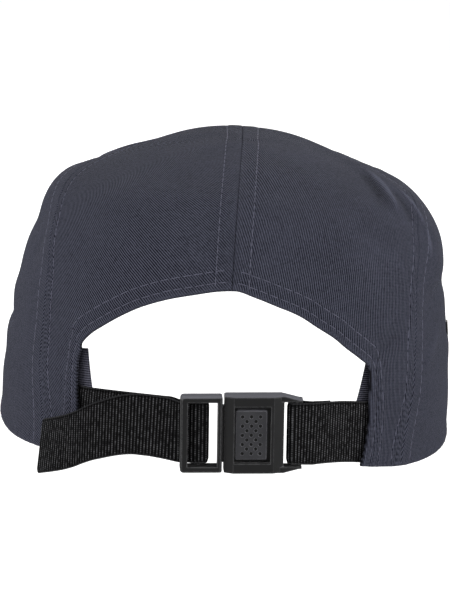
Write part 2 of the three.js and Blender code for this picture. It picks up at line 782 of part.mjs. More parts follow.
function buckleMaleHalf() {
  const frontFace = -FRAME_DEPTH / 2;
  const slotEnd = FRAME_WIDTH - FRAME_INNER_BAR;
  const slotMiddle = (FRAME_BAR + slotEnd) / 2;
  const outline = roundedBox(0, FRAME_WIDTH, FRAME_HEIGHT, FRAME_CORNER, FRAME_INNER_CORNER);
  let solid = frontSlab(outline, frontFace, FRAME_DEPTH, EDGE_BEVEL);
  solid = solid.subtract(box(slotEnd - FRAME_BAR, 2 * FRAME_DEPTH, SLOT_HEIGHT, slotMiddle, 0, 0));
  const behindBar = frontFace + FRAME_BAR_DEPTH;
  solid = solid.subtract(box(2 * FRAME_BAR, FRAME_DEPTH, SLOT_HEIGHT, 0, behindBar + FRAME_DEPTH / 2, 0));
  const railHeight = (SLOT_HEIGHT + FRAME_HEIGHT) / 2;
  const bar = roundBar(ADJUSTER_BAR, ADJUSTER_BAR_DEPTH, railHeight);
  bar.translate(ADJUSTER_BAR_X, ADJUSTER_BAR_BACK, 0);
  solid = solid.add(toSolid(bar));
  const tongueEnd = housingLeft + CAVITY_END - TONGUE_MARGIN;
  const tongueStart = slotEnd + FRAME_INNER_BAR / 2;
  solid = solid.add(box(
    tongueEnd - tongueStart,
    TONGUE_DEPTH,
    CAVITY_HEIGHT - 2 * TONGUE_MARGIN,
    (tongueStart + tongueEnd) / 2,
    0,
    0,
  ));
  const padX = housingLeft + WINDOW_X - PAD_SHIFT;
  const padFront = -BUCKLE_DEPTH / 2 + PAD_RECESS;
  const pad = roundedBox(padX - PAD_WIDTH / 2, padX + PAD_WIDTH / 2, PAD_HEIGHT, PAD_CORNER);
  solid = solid.add(frontSlab(pad, padFront, -padFront, PAD_BEVEL));
  for (let row = 0; row < DIMPLE_ROWS; row += 1) {
    const count = row % 2 === 0 ? 3 : 2;
    for (let column = 0; column < count; column += 1) {
      const x = padX + (column - (count - 1) / 2) * DIMPLE_PITCH;
      const z = (row - (DIMPLE_ROWS - 1) / 2) * DIMPLE_ROW_PITCH;
      const dimple = new THREE.CylinderGeometry(DIMPLE_RADIUS, DIMPLE_RADIUS, 2 * DIMPLE_DEPTH, 6);
      dimple.translate(x, padFront, z);
      solid = solid.subtract(toSolid(dimple));
    }
  }
  return fromSolid(solid);
}

function buckleHousing() {
  const front = -BUCKLE_DEPTH / 2;
  const back = BUCKLE_DEPTH / 2;
  const left = housingLeft;
  const right = left + HOUSING_BODY;
  const section = new THREE.Shape();
  section.moveTo(left, front + FACET_DROP);
  section.lineTo(left + LEFT_FACET, front);
  section.lineTo(right - RIGHT_FACET, front);
  section.lineTo(right, front + FACET_DROP);
  section.lineTo(right, back - EDGE_BEVEL);
  section.lineTo(right - EDGE_BEVEL, back);
  section.lineTo(left + EDGE_BEVEL, back);
  section.lineTo(left, back - EDGE_BEVEL);
  section.closePath();
  const bodyGeometry = new THREE.ExtrudeGeometry(section, {
    depth: BUCKLE_HEIGHT - 2 * EDGE_BEVEL,
    bevelThickness: EDGE_BEVEL,
    bevelSize: EDGE_BEVEL,
    bevelOffset: -EDGE_BEVEL,
    bevelSegments: 2,
  });
  bodyGeometry.translate(0, 0, -BUCKLE_HEIGHT / 2 + EDGE_BEVEL);
  let solid = toSolid(bodyGeometry);
  solid = solid.subtract(box(2 * CAVITY_END, CAVITY_DEPTH, CAVITY_HEIGHT, left, 0, 0));
  solid = solid.subtract(box(WINDOW_WIDTH, BUCKLE_DEPTH, WINDOW_HEIGHT, left + WINDOW_X, front, 0));
  const flangeEnd = left + housingWidth;
  const flangeHeight = (BUCKLE_HEIGHT - SLOT_HEIGHT) / 2;
  const inside = SLOT_HEIGHT / 2;
  const outside = BUCKLE_HEIGHT / 2;
  for (const end of [-1, 1]) {
    const flange = new THREE.Shape();
    flange.moveTo(right - FLANGE_OVERLAP, end * inside);
    flange.lineTo(flangeEnd, end * inside);
    flange.lineTo(flangeEnd, end * (inside + FLANGE_TIP));
    flange.lineTo(flangeEnd - FLANGE_ROUND, end * (outside - FLANGE_TAPER));
    flange.lineTo(right, end * outside);
    flange.lineTo(right - FLANGE_OVERLAP, end * outside);
    flange.closePath();
    solid = solid.add(frontSlab(flange, -HOUSING_FLANGE_DEPTH / 2, HOUSING_FLANGE_DEPTH, FLANGE_BEVEL));
  }
  const barLength = SLOT_HEIGHT + flangeHeight / 2;
  const bar = new THREE.CylinderGeometry(HOUSING_BAR / 2, HOUSING_BAR / 2, barLength, 12);
  bar.rotateX(Math.PI / 2);
  bar.translate(left + HOUSING_BAR_X, HOUSING_BAR_BACK, 0);
  solid = solid.add(toSolid(bar));
  return fromSolid(solid);
}

buckle.add(addMesh('buckle_male_half', buckleMaleHalf(), PLASTIC));
buckle.add(addMesh('buckle_housing', buckleHousing(), PLASTIC));

// A strap is a flat ribbon. Each stop gives the middle line and the direction across the width.
function strapGeometry(stops) {
  const outer = [];
  const inner = [];
  stops.forEach((stop, i) => {
    const before = stops[Math.max(i - 1, 0)].middle;
    const after = stops[Math.min(i + 1, stops.length - 1)].middle;
    const run = after.clone().sub(before);
    const face = run.cross(stop.across).normalize().multiplyScalar(STRAP_WALL / 2);
    const half = stop.across.clone().multiplyScalar(STRAP_WIDTH / 2);
    const top = stop.middle.clone().add(half);
    const bottom = stop.middle.clone().sub(half);
    outer.push([bottom.clone().add(face), top.clone().add(face)]);
    inner.push([bottom.clone().sub(face), top.clone().sub(face)]);
  });
  return sheetGeometry(outer, inner);
}

// A stop of the strap on the crown's surface, at a distance out to the side and an offset
function stopOnCrown(x, z, offset) {
  const middlePlace = strapPlace(x, z);
  const around = Math.atan2(middlePlace.x, -middlePlace.y);
  const low = cloth(placeOnCrown(z - STRAP_WIDTH / 3, around), offset);
  const high = cloth(placeOnCrown(z + STRAP_WIDTH / 3, around), offset);
  return { middle: low.clone().add(high).multiplyScalar(0.5), across: high.sub(low).normalize() };
}

function stopAtBuckle(x, y, raised = 0) {
  return {
    middle: new THREE.Vector3(x, y, raised).applyMatrix4(buckle.matrix),
    across: new THREE.Vector3(0, 0, 1).transformDirection(buckle.matrix),
  };
}

// Half a turn round a bar, from the head side to the front
function turnRound(x, y, radius, direction, raised = 0) {
  const stops = [];
  for (let i = 0; i <= 6; i += 1) {
    const angle = Math.PI / 2 - (Math.PI * i) / 6;
    const stopX = x + direction * radius * Math.cos(angle);
    stops.push(stopAtBuckle(stopX, y + radius * Math.sin(angle), raised));
  }
  return stops;
}

function between(from, to, count, make) {
  const stops = [];
  for (let i = 0; i <= count; i += 1) stops.push(make(lerp(from, to, i / count)));
  return stops;
}

// The straps rise from the edge of the opening to the buckle
function strapHeight(x, edge) {
  const end = edge < 0 ? buckleLeft : buckleLeft + BUCKLE_WIDTH;
  const share = Math.min(Math.abs((x - edge) / (end - edge)), 1);
  const rise = share * (2 - share);
  return x / edge > 1 ? STRAP_EDGE_HEIGHT : lerp(STRAP_EDGE_HEIGHT, STRAP_BESIDE_BUCKLE, rise);
}

function leftStrap() {
  const edge = -OPENING_LEFT;
  const start = edge - STRAP_SEWN;
  const leave = buckleLeft - STRAP_LEAD;
  const load = between(start, leave, 14, (x) => stopOnCrown(x, strapHeight(x, edge), strapInset));
  const barRadius = ADJUSTER_BAR_DEPTH / 2 + CLEARANCE + STRAP_WALL / 2;
  const wrapX = ADJUSTER_BAR_X + ADJUSTER_BAR / 2 - ADJUSTER_BAR_DEPTH / 2;
  const behindBars = [0, FRAME_BAR, wrapX].map((x) => stopAtBuckle(x, loadLayerBack, STRAP_RAISED_LEFT));
  const wrap = turnRound(wrapX, ADJUSTER_BAR_BACK, barRadius, 1, STRAP_RAISED_LEFT).slice(1);
  const frontLayer = ADJUSTER_BAR_BACK - barRadius;
  const underBar = -FRAME_DEPTH / 2 + FRAME_BAR_DEPTH + CLEARANCE + STRAP_WALL / 2;
  const back = [
    stopAtBuckle(ADJUSTER_BAR_X - ADJUSTER_BAR / 2, frontLayer, STRAP_RAISED_LEFT),
    stopAtBuckle(FRAME_BAR, underBar, STRAP_RAISED_LEFT),
    stopAtBuckle(0, underBar, STRAP_RAISED_LEFT),
  ];
  const lowestRead = STRAP_EDGE_HEIGHT - STRAP_WALL - FREE_END_STAND;
  const free = between(leave, -FREE_END_REACH, 14, (x) => {
    const out = (buckleLeft - x) / (buckleLeft + FREE_END_REACH);
    const z = lerp(STRAP_BESIDE_BUCKLE, FREE_END_HEIGHT, readRows(FREE_END_FALL, 'out', 'drop', out));
    const underBarOffset = strapInset + loadLayerBack - underBar;
    const overPanel = STRAP_WALL / 2 + FREE_END_STAND;
    const offset = lerp(underBarOffset, overPanel, THREE.MathUtils.smoothstep(out, 0.1, 0.6));
    const stop = stopOnCrown(x, Math.max(z, lowestRead), offset);
    const lean = rad(FREE_END_LEAN) * THREE.MathUtils.smoothstep(out, 0.3, 0.8);
    const away = new THREE.Vector3(stop.middle.x, stop.middle.y, 0).normalize();
    stop.middle.z = z;
    stop.middle.addScaledVector(away, (Math.sin(lean) * STRAP_WIDTH) / 2);
    const slant = Math.sin(rad(FREE_END_SLANT)) * THREE.MathUtils.smoothstep(out, 0.7, 1);
    stop.across.lerp(new THREE.Vector3(slant, -Math.sin(lean), Math.cos(lean)), Math.min(out * 3, 1));
    return stop;
  });
  return strapGeometry([...load, ...behindBars, ...wrap, ...back, ...free]);
}

function rightStrap() {
  const edge = OPENING_RIGHT;
  const barX = housingLeft + HOUSING_BAR_X;
  const radius = HOUSING_BAR / 2 + CLEARANCE + STRAP_WALL / 2;
  const turn = turnRound(barX, HOUSING_BAR_BACK, radius, -1);
  const leave = buckleLeft + BUCKLE_WIDTH + STRAP_LEAD;
  const frontLayer = HOUSING_BAR_BACK - radius;
  const settle = (x, from, to) => 1 - THREE.MathUtils.smoothstep(x, from, to);
  const lift = (x) => (loadLayerBack - frontLayer) * settle(x, leave - STRAP_SETTLE, edge - STRAP_LEAD);
  const apart = (x) => lerp(layerGap, 2 * radius, settle(x, leave - STRAP_SETTLE, leave + STRAP_SETTLE));
  const front = between(leave, edge + STRAP_SEWN, 12, (x) => (
    stopOnCrown(x, strapHeight(x, edge), strapInset + lift(x))
  ));
  const behind = between(RETURN_LAYER_END, leave, 6, (x) => (
    stopOnCrown(x, strapHeight(x, edge), strapInset + lift(x) - apart(x))
  ));
  return strapGeometry([...behind, ...turn, ...front]);
}

addMesh('strap_left', leftStrap(), WEBBING);
addMesh('strap_right', rightStrap(), WEBBING);

export default cap;
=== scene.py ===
"""Looks of the five panel cap: twill panels with sewn seams, ribbed webbing, moulded buckle, eyelets.

Lengths are in millimetres while shapes are worked out, and in metres once they become meshes. The crown
is laid out on a flat map, as in the CAD source: its top is the map's centre and its rim is the circle of
radius 1.
"""

from math import atan2, cos, degrees, pi, radians, sin, tan

import bpy
import numpy as np
from mathutils import Matrix, Vector


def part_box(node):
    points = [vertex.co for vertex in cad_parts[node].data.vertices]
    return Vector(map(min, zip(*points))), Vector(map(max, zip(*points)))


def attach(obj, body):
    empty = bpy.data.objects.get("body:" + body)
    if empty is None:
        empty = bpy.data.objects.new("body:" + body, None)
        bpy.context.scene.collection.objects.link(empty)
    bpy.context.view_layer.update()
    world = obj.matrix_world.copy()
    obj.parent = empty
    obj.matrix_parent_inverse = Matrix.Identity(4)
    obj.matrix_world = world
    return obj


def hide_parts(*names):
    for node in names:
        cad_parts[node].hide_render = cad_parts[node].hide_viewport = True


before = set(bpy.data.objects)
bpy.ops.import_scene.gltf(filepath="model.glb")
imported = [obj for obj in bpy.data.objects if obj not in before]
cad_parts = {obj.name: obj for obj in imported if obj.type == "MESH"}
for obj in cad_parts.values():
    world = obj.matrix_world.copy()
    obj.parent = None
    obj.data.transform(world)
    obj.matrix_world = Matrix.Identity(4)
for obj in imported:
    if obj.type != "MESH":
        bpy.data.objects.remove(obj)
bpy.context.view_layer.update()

MM = 0.001
ROOT = "root"

# Sizes shared with the CAD source
HALF_WIDTH = 88.5
BACK_REACH = 95.0
FRONT_REACH = 95.0
CROWN_HEIGHT = 112.0
OVAL_POWER = 2.05
RIM_RISE_BACK = 15.2
RIM_RISE_FRONT = 29.2
CROWN_LEAN = 1.8
LEAN_CENTRE = 0.3
WALL = 1.6
CLEARANCE = 0.3
FOLD_DEPTH = 2.5
FRONT_SEAM_AROUND = 125.0
TOP_SEAM_CENTRE = 0.70
SIDE_PANEL_TOP = 7.0
OPENING_HEIGHT = 73.8
OPENING_LEFT = 56.0
OPENING_RIGHT = 54.0
BAND_HEIGHT = 39.0
BAND_WALL = 1.4
BAND_RAISED = 0.6
BAND_END_SHOWN = 10.7
BAND_END_SLANT = 13.0
BAND_END_RAISED = 3.0
BAND_STRAP_RUN = 12.0
PEAK_DEPTH = 70.0
PEAK_WALL = 2.8
PEAK_START = 116.0
PEAK_CORNER = 7.0
PEAK_DROP = 5.0
PEAK_OUTLINE_POWER = 2.3
STRAP_WIDTH = 23.6
STRAP_WALL = 1.2
STRAP_SEWN = 8.0
STRAP_EDGE_HEIGHT = 19.5
STRAP_BESIDE_BUCKLE = 22.7
STRAP_RAISED_LEFT = 0.3
FREE_END_REACH = 66.0
FREE_END_HEIGHT = 5.1
FREE_END_LEAN = 10.0
FREE_END_SLANT = 4.5
FREE_END_STAND = 1.6
RETURN_LAYER_END = 40.0
STRAP_LEAD = 4.0
STRAP_SETTLE = 7.0
BUCKLE_X = 5.6
BUCKLE_Z = 21.8
BUCKLE_ROLL = 2.0
BUCKLE_WIDTH = 45.0
BUCKLE_GAP = 0.7
FRAME_WIDTH = 15.5
FRAME_DEPTH = 5.2
FRAME_BAR = 2.7
FRAME_BAR_DEPTH = 2.4
ADJUSTER_BAR = 3.8
ADJUSTER_BAR_DEPTH = 1.8
ADJUSTER_BAR_X = 7.4
ADJUSTER_BAR_BACK = 1.5
HOUSING_BAR_X = 25.8
HOUSING_BAR = 2.4
HOUSING_BAR_BACK = 0.9
BUCKLE_DEPTH = 6.6
WINDOW_X = 10.4
PAD_SHIFT = 0.5
PAD_WIDTH = 11.8
PAD_HEIGHT = 19.0
PAD_RECESS = 0.5
PAD_SHADE = 0.5
PAD_MARGIN = 0.8
EYELET_HOLE = 2.5
EYELET_CALM = 8.0

# Sections of the crown from the rim to the top: share of the way up the cloth, then shares of the crown's
# height, half width, back reach and front reach
RING_COLUMNS = ("along", "up", "side", "back", "front")
CROWN_RINGS = [
    (0.000, 0.000, 1.000, 1.000, 1.000),
    (0.125, 0.190, 0.990, 0.990, 0.997),
    (0.250, 0.380, 0.961, 0.955, 0.977),
    (0.370, 0.560, 0.930, 0.895, 0.929),
    (0.475, 0.720, 0.883, 0.800, 0.841),
    (0.580, 0.840, 0.754, 0.675, 0.721),
    (0.710, 0.920, 0.506, 0.520, 0.562),
    (0.850, 0.975, 0.276, 0.290, 0.374),
    (1.000, 1.000, 0.000, 0.000, 0.000),
]

# Seam between a back panel and a side panel: share of the way up, degrees from the back
SIDE_SEAM = [
    (0.00, 47), (0.10, 49), (0.21, 52.8), (0.32, 55), (0.41, 58), (0.47, 62.5),
    (0.52, 68), (0.56, 76.5), (0.593, 87), (0.622, 98), (0.650, 109), (0.665, 121),
]

# Edge of the rear opening: share of the way up to its top, shares of its half width at the left and right
OPENING_EDGE = [
    (0.00, 0.970, 0.968), (0.10, 0.975, 0.991), (0.26, 0.984, 1.008), (0.42, 1.002, 1.003),
    (0.54, 1.004, 0.999), (0.60, 0.988, 0.977), (0.64, 0.986, 0.919), (0.70, 0.930, 0.817),
    (0.76, 0.840, 0.724), (0.82, 0.736, 0.601), (0.88, 0.608, 0.477), (0.93, 0.449, 0.312),
    (0.97, 0.243, 0.164),
]

# Folds of the crown: degrees from the back and share of the way up at both ends, width on the map, depth
# as a share of the fold depth
FOLDS = [
    (-104, 0.455, -72, 0.44, 0.055, -0.95),
    (100, 0.68, 69, 0.59, 0.040, 0.5),
    (84, 0.60, 72, 0.46, 0.050, 0.5),
    (104, 0.48, 80, 0.47, 0.120, 0.4),
    (-118, 0.60, -142, 0.67, 0.075, -0.75),
    (-88, 0.51, -106, 0.55, 0.050, 0.55),
    (142, 0.66, 125, 0.605, 0.070, -0.90),
]

# Height of the strap's free end from the buckle to its hem: share of the way out, share of the drop
FREE_END_FALL = [(0.00, 0.00), (0.35, 0.00), (0.60, 0.28), (0.78, 0.64), (1.00, 1.00)]

# Finer folds of the outer face: degrees from the back and share of the way up at both ends, width on the
# map, height in millimetres, and a painted highlight along its crest, negative for painted shade
FINE_FOLDS = [
    (-102, 0.270, -74, 0.262, 0.030, 0.9, 0.0),
    (-102, 0.215, -78, 0.220, 0.016, -0.8, 0.0),
    (-100, 0.165, -72, 0.170, 0.035, 0.9, 0.0),
    (-98, 0.080, -70, 0.090, 0.040, 0.5, 0.0),
    (73, 0.290, 59, 0.212, 0.022, 0.8, 0.7),
    (94, 0.210, 74, 0.190, 0.045, 0.9, 0.0),
    (96, 0.338, 58, 0.325, 0.024, -1.2, 0.0),
    (93, 0.686, 64, 0.574, 0.007, 0.5, 2.6),
    (88, 0.692, 60, 0.592, 0.022, -0.7, -0.8),
    (80, 0.612, 72, 0.512, 0.007, 0.5, 2.2),
    (72, 0.512, 68, 0.450, 0.008, 0.4, 1.6),
    (76, 0.628, 67, 0.520, 0.020, -0.6, -0.7),
    (36, 0.250, 50, 0.310, 0.030, -0.9, -0.6),
    (-38, 0.330, -47, 0.270, 0.030, 0.5, 0.4),
    (-20, 0.620, -52, 0.560, 0.100, 0.7, 0.0),
    (30, 0.600, 50, 0.480, 0.080, -0.6, 0.0),
]

# Slow waves of the outer face: lengths round the crown and up it, start, height
WAVES = [
    (31.0, 23.0, 0.4, 0.13), (-19.0, 27.0, 1.9, 0.10), (14.0, -17.0, 3.1, 0.06), (47.0, 9.0, 5.0, 0.10),
]
QUIET_SEAM = 0.6

# Sewing
SEAM_GAP = 0.08
SEAM_LAP = 1.2
SEAM_LAP_RUN = 5.0
SEAM_ROW = 6.2
HEM_ROWS = (3.0, 7.4)
RIM_SHAPE = (3.0,)
STITCH_PITCH = 4.2
STITCH_LENGTH = 4.0
THREAD_RADIUS = 0.16
THREAD_SIDES = 6
THREAD_RINGS = 6
PEAK_ROW = 4.0
PEAK_ROW_FROM = 9.0
ROW_END = 1.5
EDGE_CROWDING = 0.72
TWILL_PERIOD = 0.84
YARN_PERIOD = 0.55

# Webbing
RIB_PITCH = 1.27
RIB_HEIGHT = 0.15
RIB_STEPS = 5
NUB_PITCH = 0.85
SPLINE_STEPS = 12
STRAP_COLUMNS = 14
FREE_END_HEM = 7.4
END_CORNER = 1.6

# Camera of the photograph
CAMERA_ELEVATION = 17.5
CAMERA_DISTANCE = 1250.0
CAMERA_ROLL = 3.0
CAMERA_LENS = 188.2
CAMERA_SENSOR = 36.0
AIM_ABOVE_ORIGIN = 45.9

# Studio, in metres
FLOOR_DEPTH = 0.40
FLOOR_REACH = 30.0
COVE_RADIUS = 6.0
LIT_POINT = (0.0, 0.0, 0.05)


def smoothstep(x, low, high):
    s = np.clip((np.asarray(x, float) - low) / (high - low), 0.0, 1.0)
    return s * s * (3 - 2 * s)


def lerp(a, b, share):
    return a + (b - a) * share


def bell(x, width):
    """A soft bump with its top where x is 0."""
    return np.exp(-(x / width) ** 2)


def run_along(points, axis=0):
    """Distance from the start along one axis of a line or a grid of points."""
    steps = np.linalg.norm(np.diff(points, axis=axis), axis=-1)
    return np.insert(np.cumsum(steps, axis=axis), 0, 0, axis=axis)


def read_line(at, run, points):
    """Points of a line at some distances along it."""
    return np.stack([np.interp(at, run, points[:, axis]) for axis in range(points.shape[1])], -1)


def unit(v):
    return v / np.maximum(np.linalg.norm(v, axis=-1, keepdims=True), 1e-12)


def read_rows(keys, values, at):
    """A smooth curve through a table's column."""
    keys = np.asarray(keys, float)
    values = np.asarray(values, float)
    count = len(keys)
    before = np.maximum(np.arange(count) - 1, 0)
    after = np.minimum(np.arange(count) + 1, count - 1)
    slope = (values[after] - values[before]) / (keys[after] - keys[before])
    i = np.clip(np.searchsorted(keys, at, side="right") - 1, 0, count - 2)
    span = keys[i + 1] - keys[i]
    s = (at - keys[i]) / span
    bend = s * s * (3 - 2 * s)
    leave = s * (1 - s) ** 2 * span * slope[i]
    arrive = s * s * (s - 1) * span * slope[i + 1]
    return lerp(values[i], values[i + 1], bend) + leave + arrive


def over_top(rows):
    """The table carried over the top, so that the crown is round there."""
    along, up, side, back, front = rows[-2]
    return np.array(rows + [(2 - along, up, -side, -back, -front)])


RINGS = dict(zip(RING_COLUMNS, over_top(CROWN_RINGS).T))


def ring(column, along):
    return read_rows(RINGS["along"], RINGS[column], along)


def crown_base(along, around):
    """Points of the crown's base surface. around is 0 at the back and a quarter turn at +X."""
    along = np.asarray(along, float)
    around = np.asarray(around, float)
    behind = np.cos(around) >= 0
    depth = np.where(behind, BACK_REACH * ring("back", along), FRONT_REACH * ring("front", along))
    side = HALF_WIDTH * ring("side", along)
    power = np.abs(np.sin(around) / side) ** OVAL_POWER + np.abs(np.cos(around) / depth) ** OVAL_POWER
    reach = power ** (-1 / OVAL_POWER)
    rise = np.where(behind, RIM_RISE_BACK * np.cos(around) ** 4, RIM_RISE_FRONT * np.cos(around) ** 2)
    up = CROWN_HEIGHT * ring("up", along) + rise * (1 - along) ** 2
    lean = CROWN_LEAN * (along - LEAN_CENTRE)
    return np.stack([reach * np.sin(around) + lean, -reach * np.cos(around), up], -1)


def to_map(along, around):
    along = np.asarray(along, float)
    return np.stack([(1 - along) * np.sin(around), -(1 - along) * np.cos(around)], -1)


def from_map(place):
    radius = np.maximum(np.linalg.norm(place, axis=-1), 1e-5)
    return 1 - radius, np.arctan2(place[..., 0], -place[..., 1])


def map_base(place):
    return crown_base(*from_map(place))


def map_normal(place):
    step = 0.002
    across = map_base(place + (step, 0)) - map_base(place - (step, 0))
    along = map_base(place + (0, step)) - map_base(place - (0, step))
    return unit(np.cross(across, along))


def beside_fold(place, around, along, to_around, to_along, width):
    """Share of the way along a fold, and distance from it as a share of its width."""
    start = to_map(along, radians(around))
    run = to_map(to_along, radians(to_around)) - start
    share = np.clip(((place - start) @ run) / (run @ run), 0, 1)
    return share, np.linalg.norm(place - start - share[..., None] * run, axis=-1) / width


def fold_height(place):
    """How far the folds push the cloth out. The sweatband keeps it smooth round the rim."""
    band_top = BAND_RAISED + BAND_HEIGHT + FOLD_DEPTH
    free = smoothstep(map_base(place)[..., 2], band_top, band_top + 4 * FOLD_DEPTH)
    height = np.zeros(place.shape[:-1])
    for *fold, depth in FOLDS:
        _, away = beside_fold(place, *fold)
        height += FOLD_DEPTH * depth * np.exp(-away * away)
    return height * free


def cloth(place, offset):
    """Points of the cloth, moved out along the base surface's normal."""
    out = fold_height(place) + offset
    return map_base(place) + map_normal(place) * out[..., None]


def solve(target, low, high, rising, steps=40):
    """Where a rising function reaches the target, for whole arrays at once."""
    low = np.full(np.shape(target), float(low))
    high = np.full(np.shape(target), float(high))
    for _ in range(steps):
        middle = (low + high) / 2
        under = rising(middle) < target
        low = np.where(under, middle, low)
        high = np.where(under, high, middle)
    return (low + high) / 2


def spline(points, samples):
    """The points of a Catmull-Rom curve."""
    points = np.asarray(points, float)
    last = len(points) - 1
    p = np.linspace(0, last, samples + 1)
    i = np.minimum(p.astype(int), last - 1)
    w = (p - i)[:, None]
    p0, p1 = points[np.maximum(i - 1, 0)], points[i]
    p2, p3 = points[i + 1], points[np.minimum(i + 2, last)]
    v0, v1 = (p2 - p0) / 2, (p3 - p1) / 2
    return (2 * p1 - 2 * p2 + v0 + v1) * w**3 + (3 * p2 - 3 * p1 - 2 * v0 - v1) * w**2 + v0 * w + p1


def even_line(points):
    """A line through points, read by its share of length."""
    points = np.asarray(points, float)
    lengths = run_along(points)
    lengths /= lengths[-1]
    return lambda share: read_line(np.clip(np.asarray(share, float), 0, 1), lengths, points)


def mirrored(line):
    return lambda share: line(share) * (-1, 1)


def turned(line, side):
    return line if side > 0 else mirrored(line)


# Seam lines on the map, for the +X side
top_seam = even_line(spline([
    (0, 1 - TOP_SEAM_CENTRE),
    to_map(0.697, radians(165)),
    to_map(0.68, radians(148)),
    to_map(0.655, radians(134)),
], 80))
top_seam_length = run_along(map_base(top_seam(np.linspace(0, 1, 81))))[-1]
panel_top_share = 1 - SIDE_PANEL_TOP / top_seam_length

side_seam = even_line(spline(
    [to_map(along, radians(around)) for along, around in SIDE_SEAM] + [top_seam(panel_top_share)], 160))
front_seam = even_line(spline([
    to_map(0, radians(FRONT_SEAM_AROUND)),
    to_map(0.30, radians(126.5)),
    to_map(0.52, radians(130)),
    top_seam(1),
], 160))


def rim_line(start, end):
    return lambda share: to_map(0, np.radians(lerp(start, end, np.asarray(share, float))))


def around_at(along, x):
    side = HALF_WIDTH * ring("side", along)
    depth = BACK_REACH * ring("back", along)
    y = depth * (1 - abs(x / side) ** OVAL_POWER) ** (1 / OVAL_POWER)
    return atan2(x, y)


opening_top = float(solve(OPENING_HEIGHT, 0, 0.9, lambda along: crown_base(along, 0.0)[..., 2]))


def opening_line(column, half_width, direction):
    """Half of the opening's edge, from the centre seam down to the rim."""
    half = []
    for row in OPENING_EDGE:
        along = row[0] * opening_top
        half.append(to_map(along, direction * around_at(along, row[column] * half_width)))
    top = to_map(opening_top, 0.0)
    past = [point * (-1, 1) for point in half[:-3:-1]]
    samples = 40 * (len(half) + len(past))
    curve = spline(half + [top] + past, samples)
    return even_line(curve[: 40 * len(half) + 1][::-1])


opening_left = opening_line(1, OPENING_LEFT, -1)
opening_right = opening_line(2, OPENING_RIGHT, 1)


def around_of(point):
    return degrees(atan2(point[0], -point[1]))


def crowded(count):
    """Shares from 0 to 1 that lie closer together near both ends."""
    even = np.linspace(0, 1, count + 1)
    return even - EDGE_CROWDING * np.sin(2 * pi * even) / (2 * pi)


class Panel:
    """A panel of cloth between four lines of the map, as a fine grid with its distances to each edge."""

    def __init__(self, low, high, first, last, rows, columns):
        self.lines = (low, high, first, last)
        u = crowded(rows)[:, None] * np.ones(columns + 1)
        v = crowded(columns)[None, :] * np.ones((rows + 1, 1))
        v_span = np.linalg.norm(map_base(self.place(u[:, :1], 1 + 0 * v[:, :1]))
                                - map_base(self.place(u[:, :1], 0 * v[:, :1])), axis=-1)
        u_span = np.linalg.norm(map_base(self.place(1 + 0 * u[:1], v[:1]))
                                - map_base(self.place(0 * u[:1], v[:1])), axis=-1)
        u = lerp(SEAM_GAP / 2 / u_span, 1 - SEAM_GAP / 2 / u_span, u)
        v = lerp(SEAM_GAP / 2 / v_span, 1 - SEAM_GAP / 2 / v_span, v)
        self.map = self.place(u, v)
        self.points = cloth(self.map, np.zeros(u.shape))
        self.normals = map_normal(self.map)
        self.low, self.high = self.run_lengths(self.points)
        first, last = self.run_lengths(self.points.transpose(1, 0, 2))
        self.first, self.last = first.T, last.T

    def place(self, u, v):
        low, high, first, last = self.lines
        uu, vv = u[..., None], v[..., None]
        across = low(u) * (1 - vv) + high(u) * vv
        along = first(v) * (1 - uu) + last(v) * uu
        corners = (low(0) * (1 - uu) * (1 - vv) + low(1) * uu * (1 - vv)
                   + high(0) * (1 - uu) * vv + high(1) * uu * vv)
        return across + along - corners

    @staticmethod
    def run_lengths(points):
        """Distances from both ends along each row of the grid."""
        run = run_along(points, 1)
        return run, run[:, -1:] - run


def back_panel(opening, side):
    outline = [top_seam(share) for share in np.linspace(0, 1, 61) * panel_top_share]
    outline += [side_seam(1 - share) for share in np.linspace(0, 1, 121)[1:]]
    outer_line = even_line(np.array(outline) * (side, 1))
    centre = even_line([opening(0), (0, 1 - TOP_SEAM_CENTRE)])
    foot = abs(around_of(opening(1)))
    return Panel(opening, outer_line, centre, rim_line(side * foot, side * SIDE_SEAM[0][1]), 240, 130)


def side_panel(side):
    return Panel(
        rim_line(side * SIDE_SEAM[0][1], side * FRONT_SEAM_AROUND),
        turned(lambda share: top_seam(lerp(panel_top_share, 1, np.asarray(share, float))), side),
        turned(side_seam, side),
        turned(front_seam, side),
        130, 130)


def front_panel():
    def top(share):
        share = np.asarray(share, float)
        left = mirrored(top_seam)(1 - 2 * share)
        right = top_seam(2 * share - 1)
        return np.where((share < 0.5)[..., None], left, right)

    rim = rim_line(360 - FRONT_SEAM_AROUND, FRONT_SEAM_AROUND)
    return Panel(rim, top, mirrored(front_seam), front_seam, 150, 100)


# Arc lengths over the crown, for a cloth pattern that neither stretches nor swims
GRID_ALONG = np.linspace(0, 0.99, 100)
GRID_AROUND = np.radians(np.linspace(-240, 240, 481))
grid_points = crown_base(GRID_ALONG[:, None], GRID_AROUND[None, :])
ring_run = run_along(grid_points, 1)
ring_run -= ring_run[:, len(GRID_AROUND) // 2][:, None]
up_run = run_along(grid_points)


def grid_read(values, along, around):
    """Reads a table of the crown between its grid points."""
    i = np.clip(along / GRID_ALONG[1], 0, len(GRID_ALONG) - 1.001)
    j = (around - GRID_AROUND[0]) / (GRID_AROUND[1] - GRID_AROUND[0])
    i0, j0 = i.astype(int), j.astype(int)
    a, b = i - i0, j - j0
    low = lerp(values[i0, j0], values[i0, j0 + 1], b)
    high = lerp(values[i0 + 1, j0], values[i0 + 1, j0 + 1], b)
    return lerp(low, high, a)


def arc_places(place, wrap=0.0):
    """Distance round the crown from the back and distance up from the rim, in millimetres."""
    along, around = from_map(place)
    if wrap:
        around = np.where(around * wrap < 0, around + 2 * pi * wrap, around)
    around = np.clip(around, GRID_AROUND[0], GRID_AROUND[-2])
    return grid_read(ring_run, along, around), grid_read(up_run, along, around)


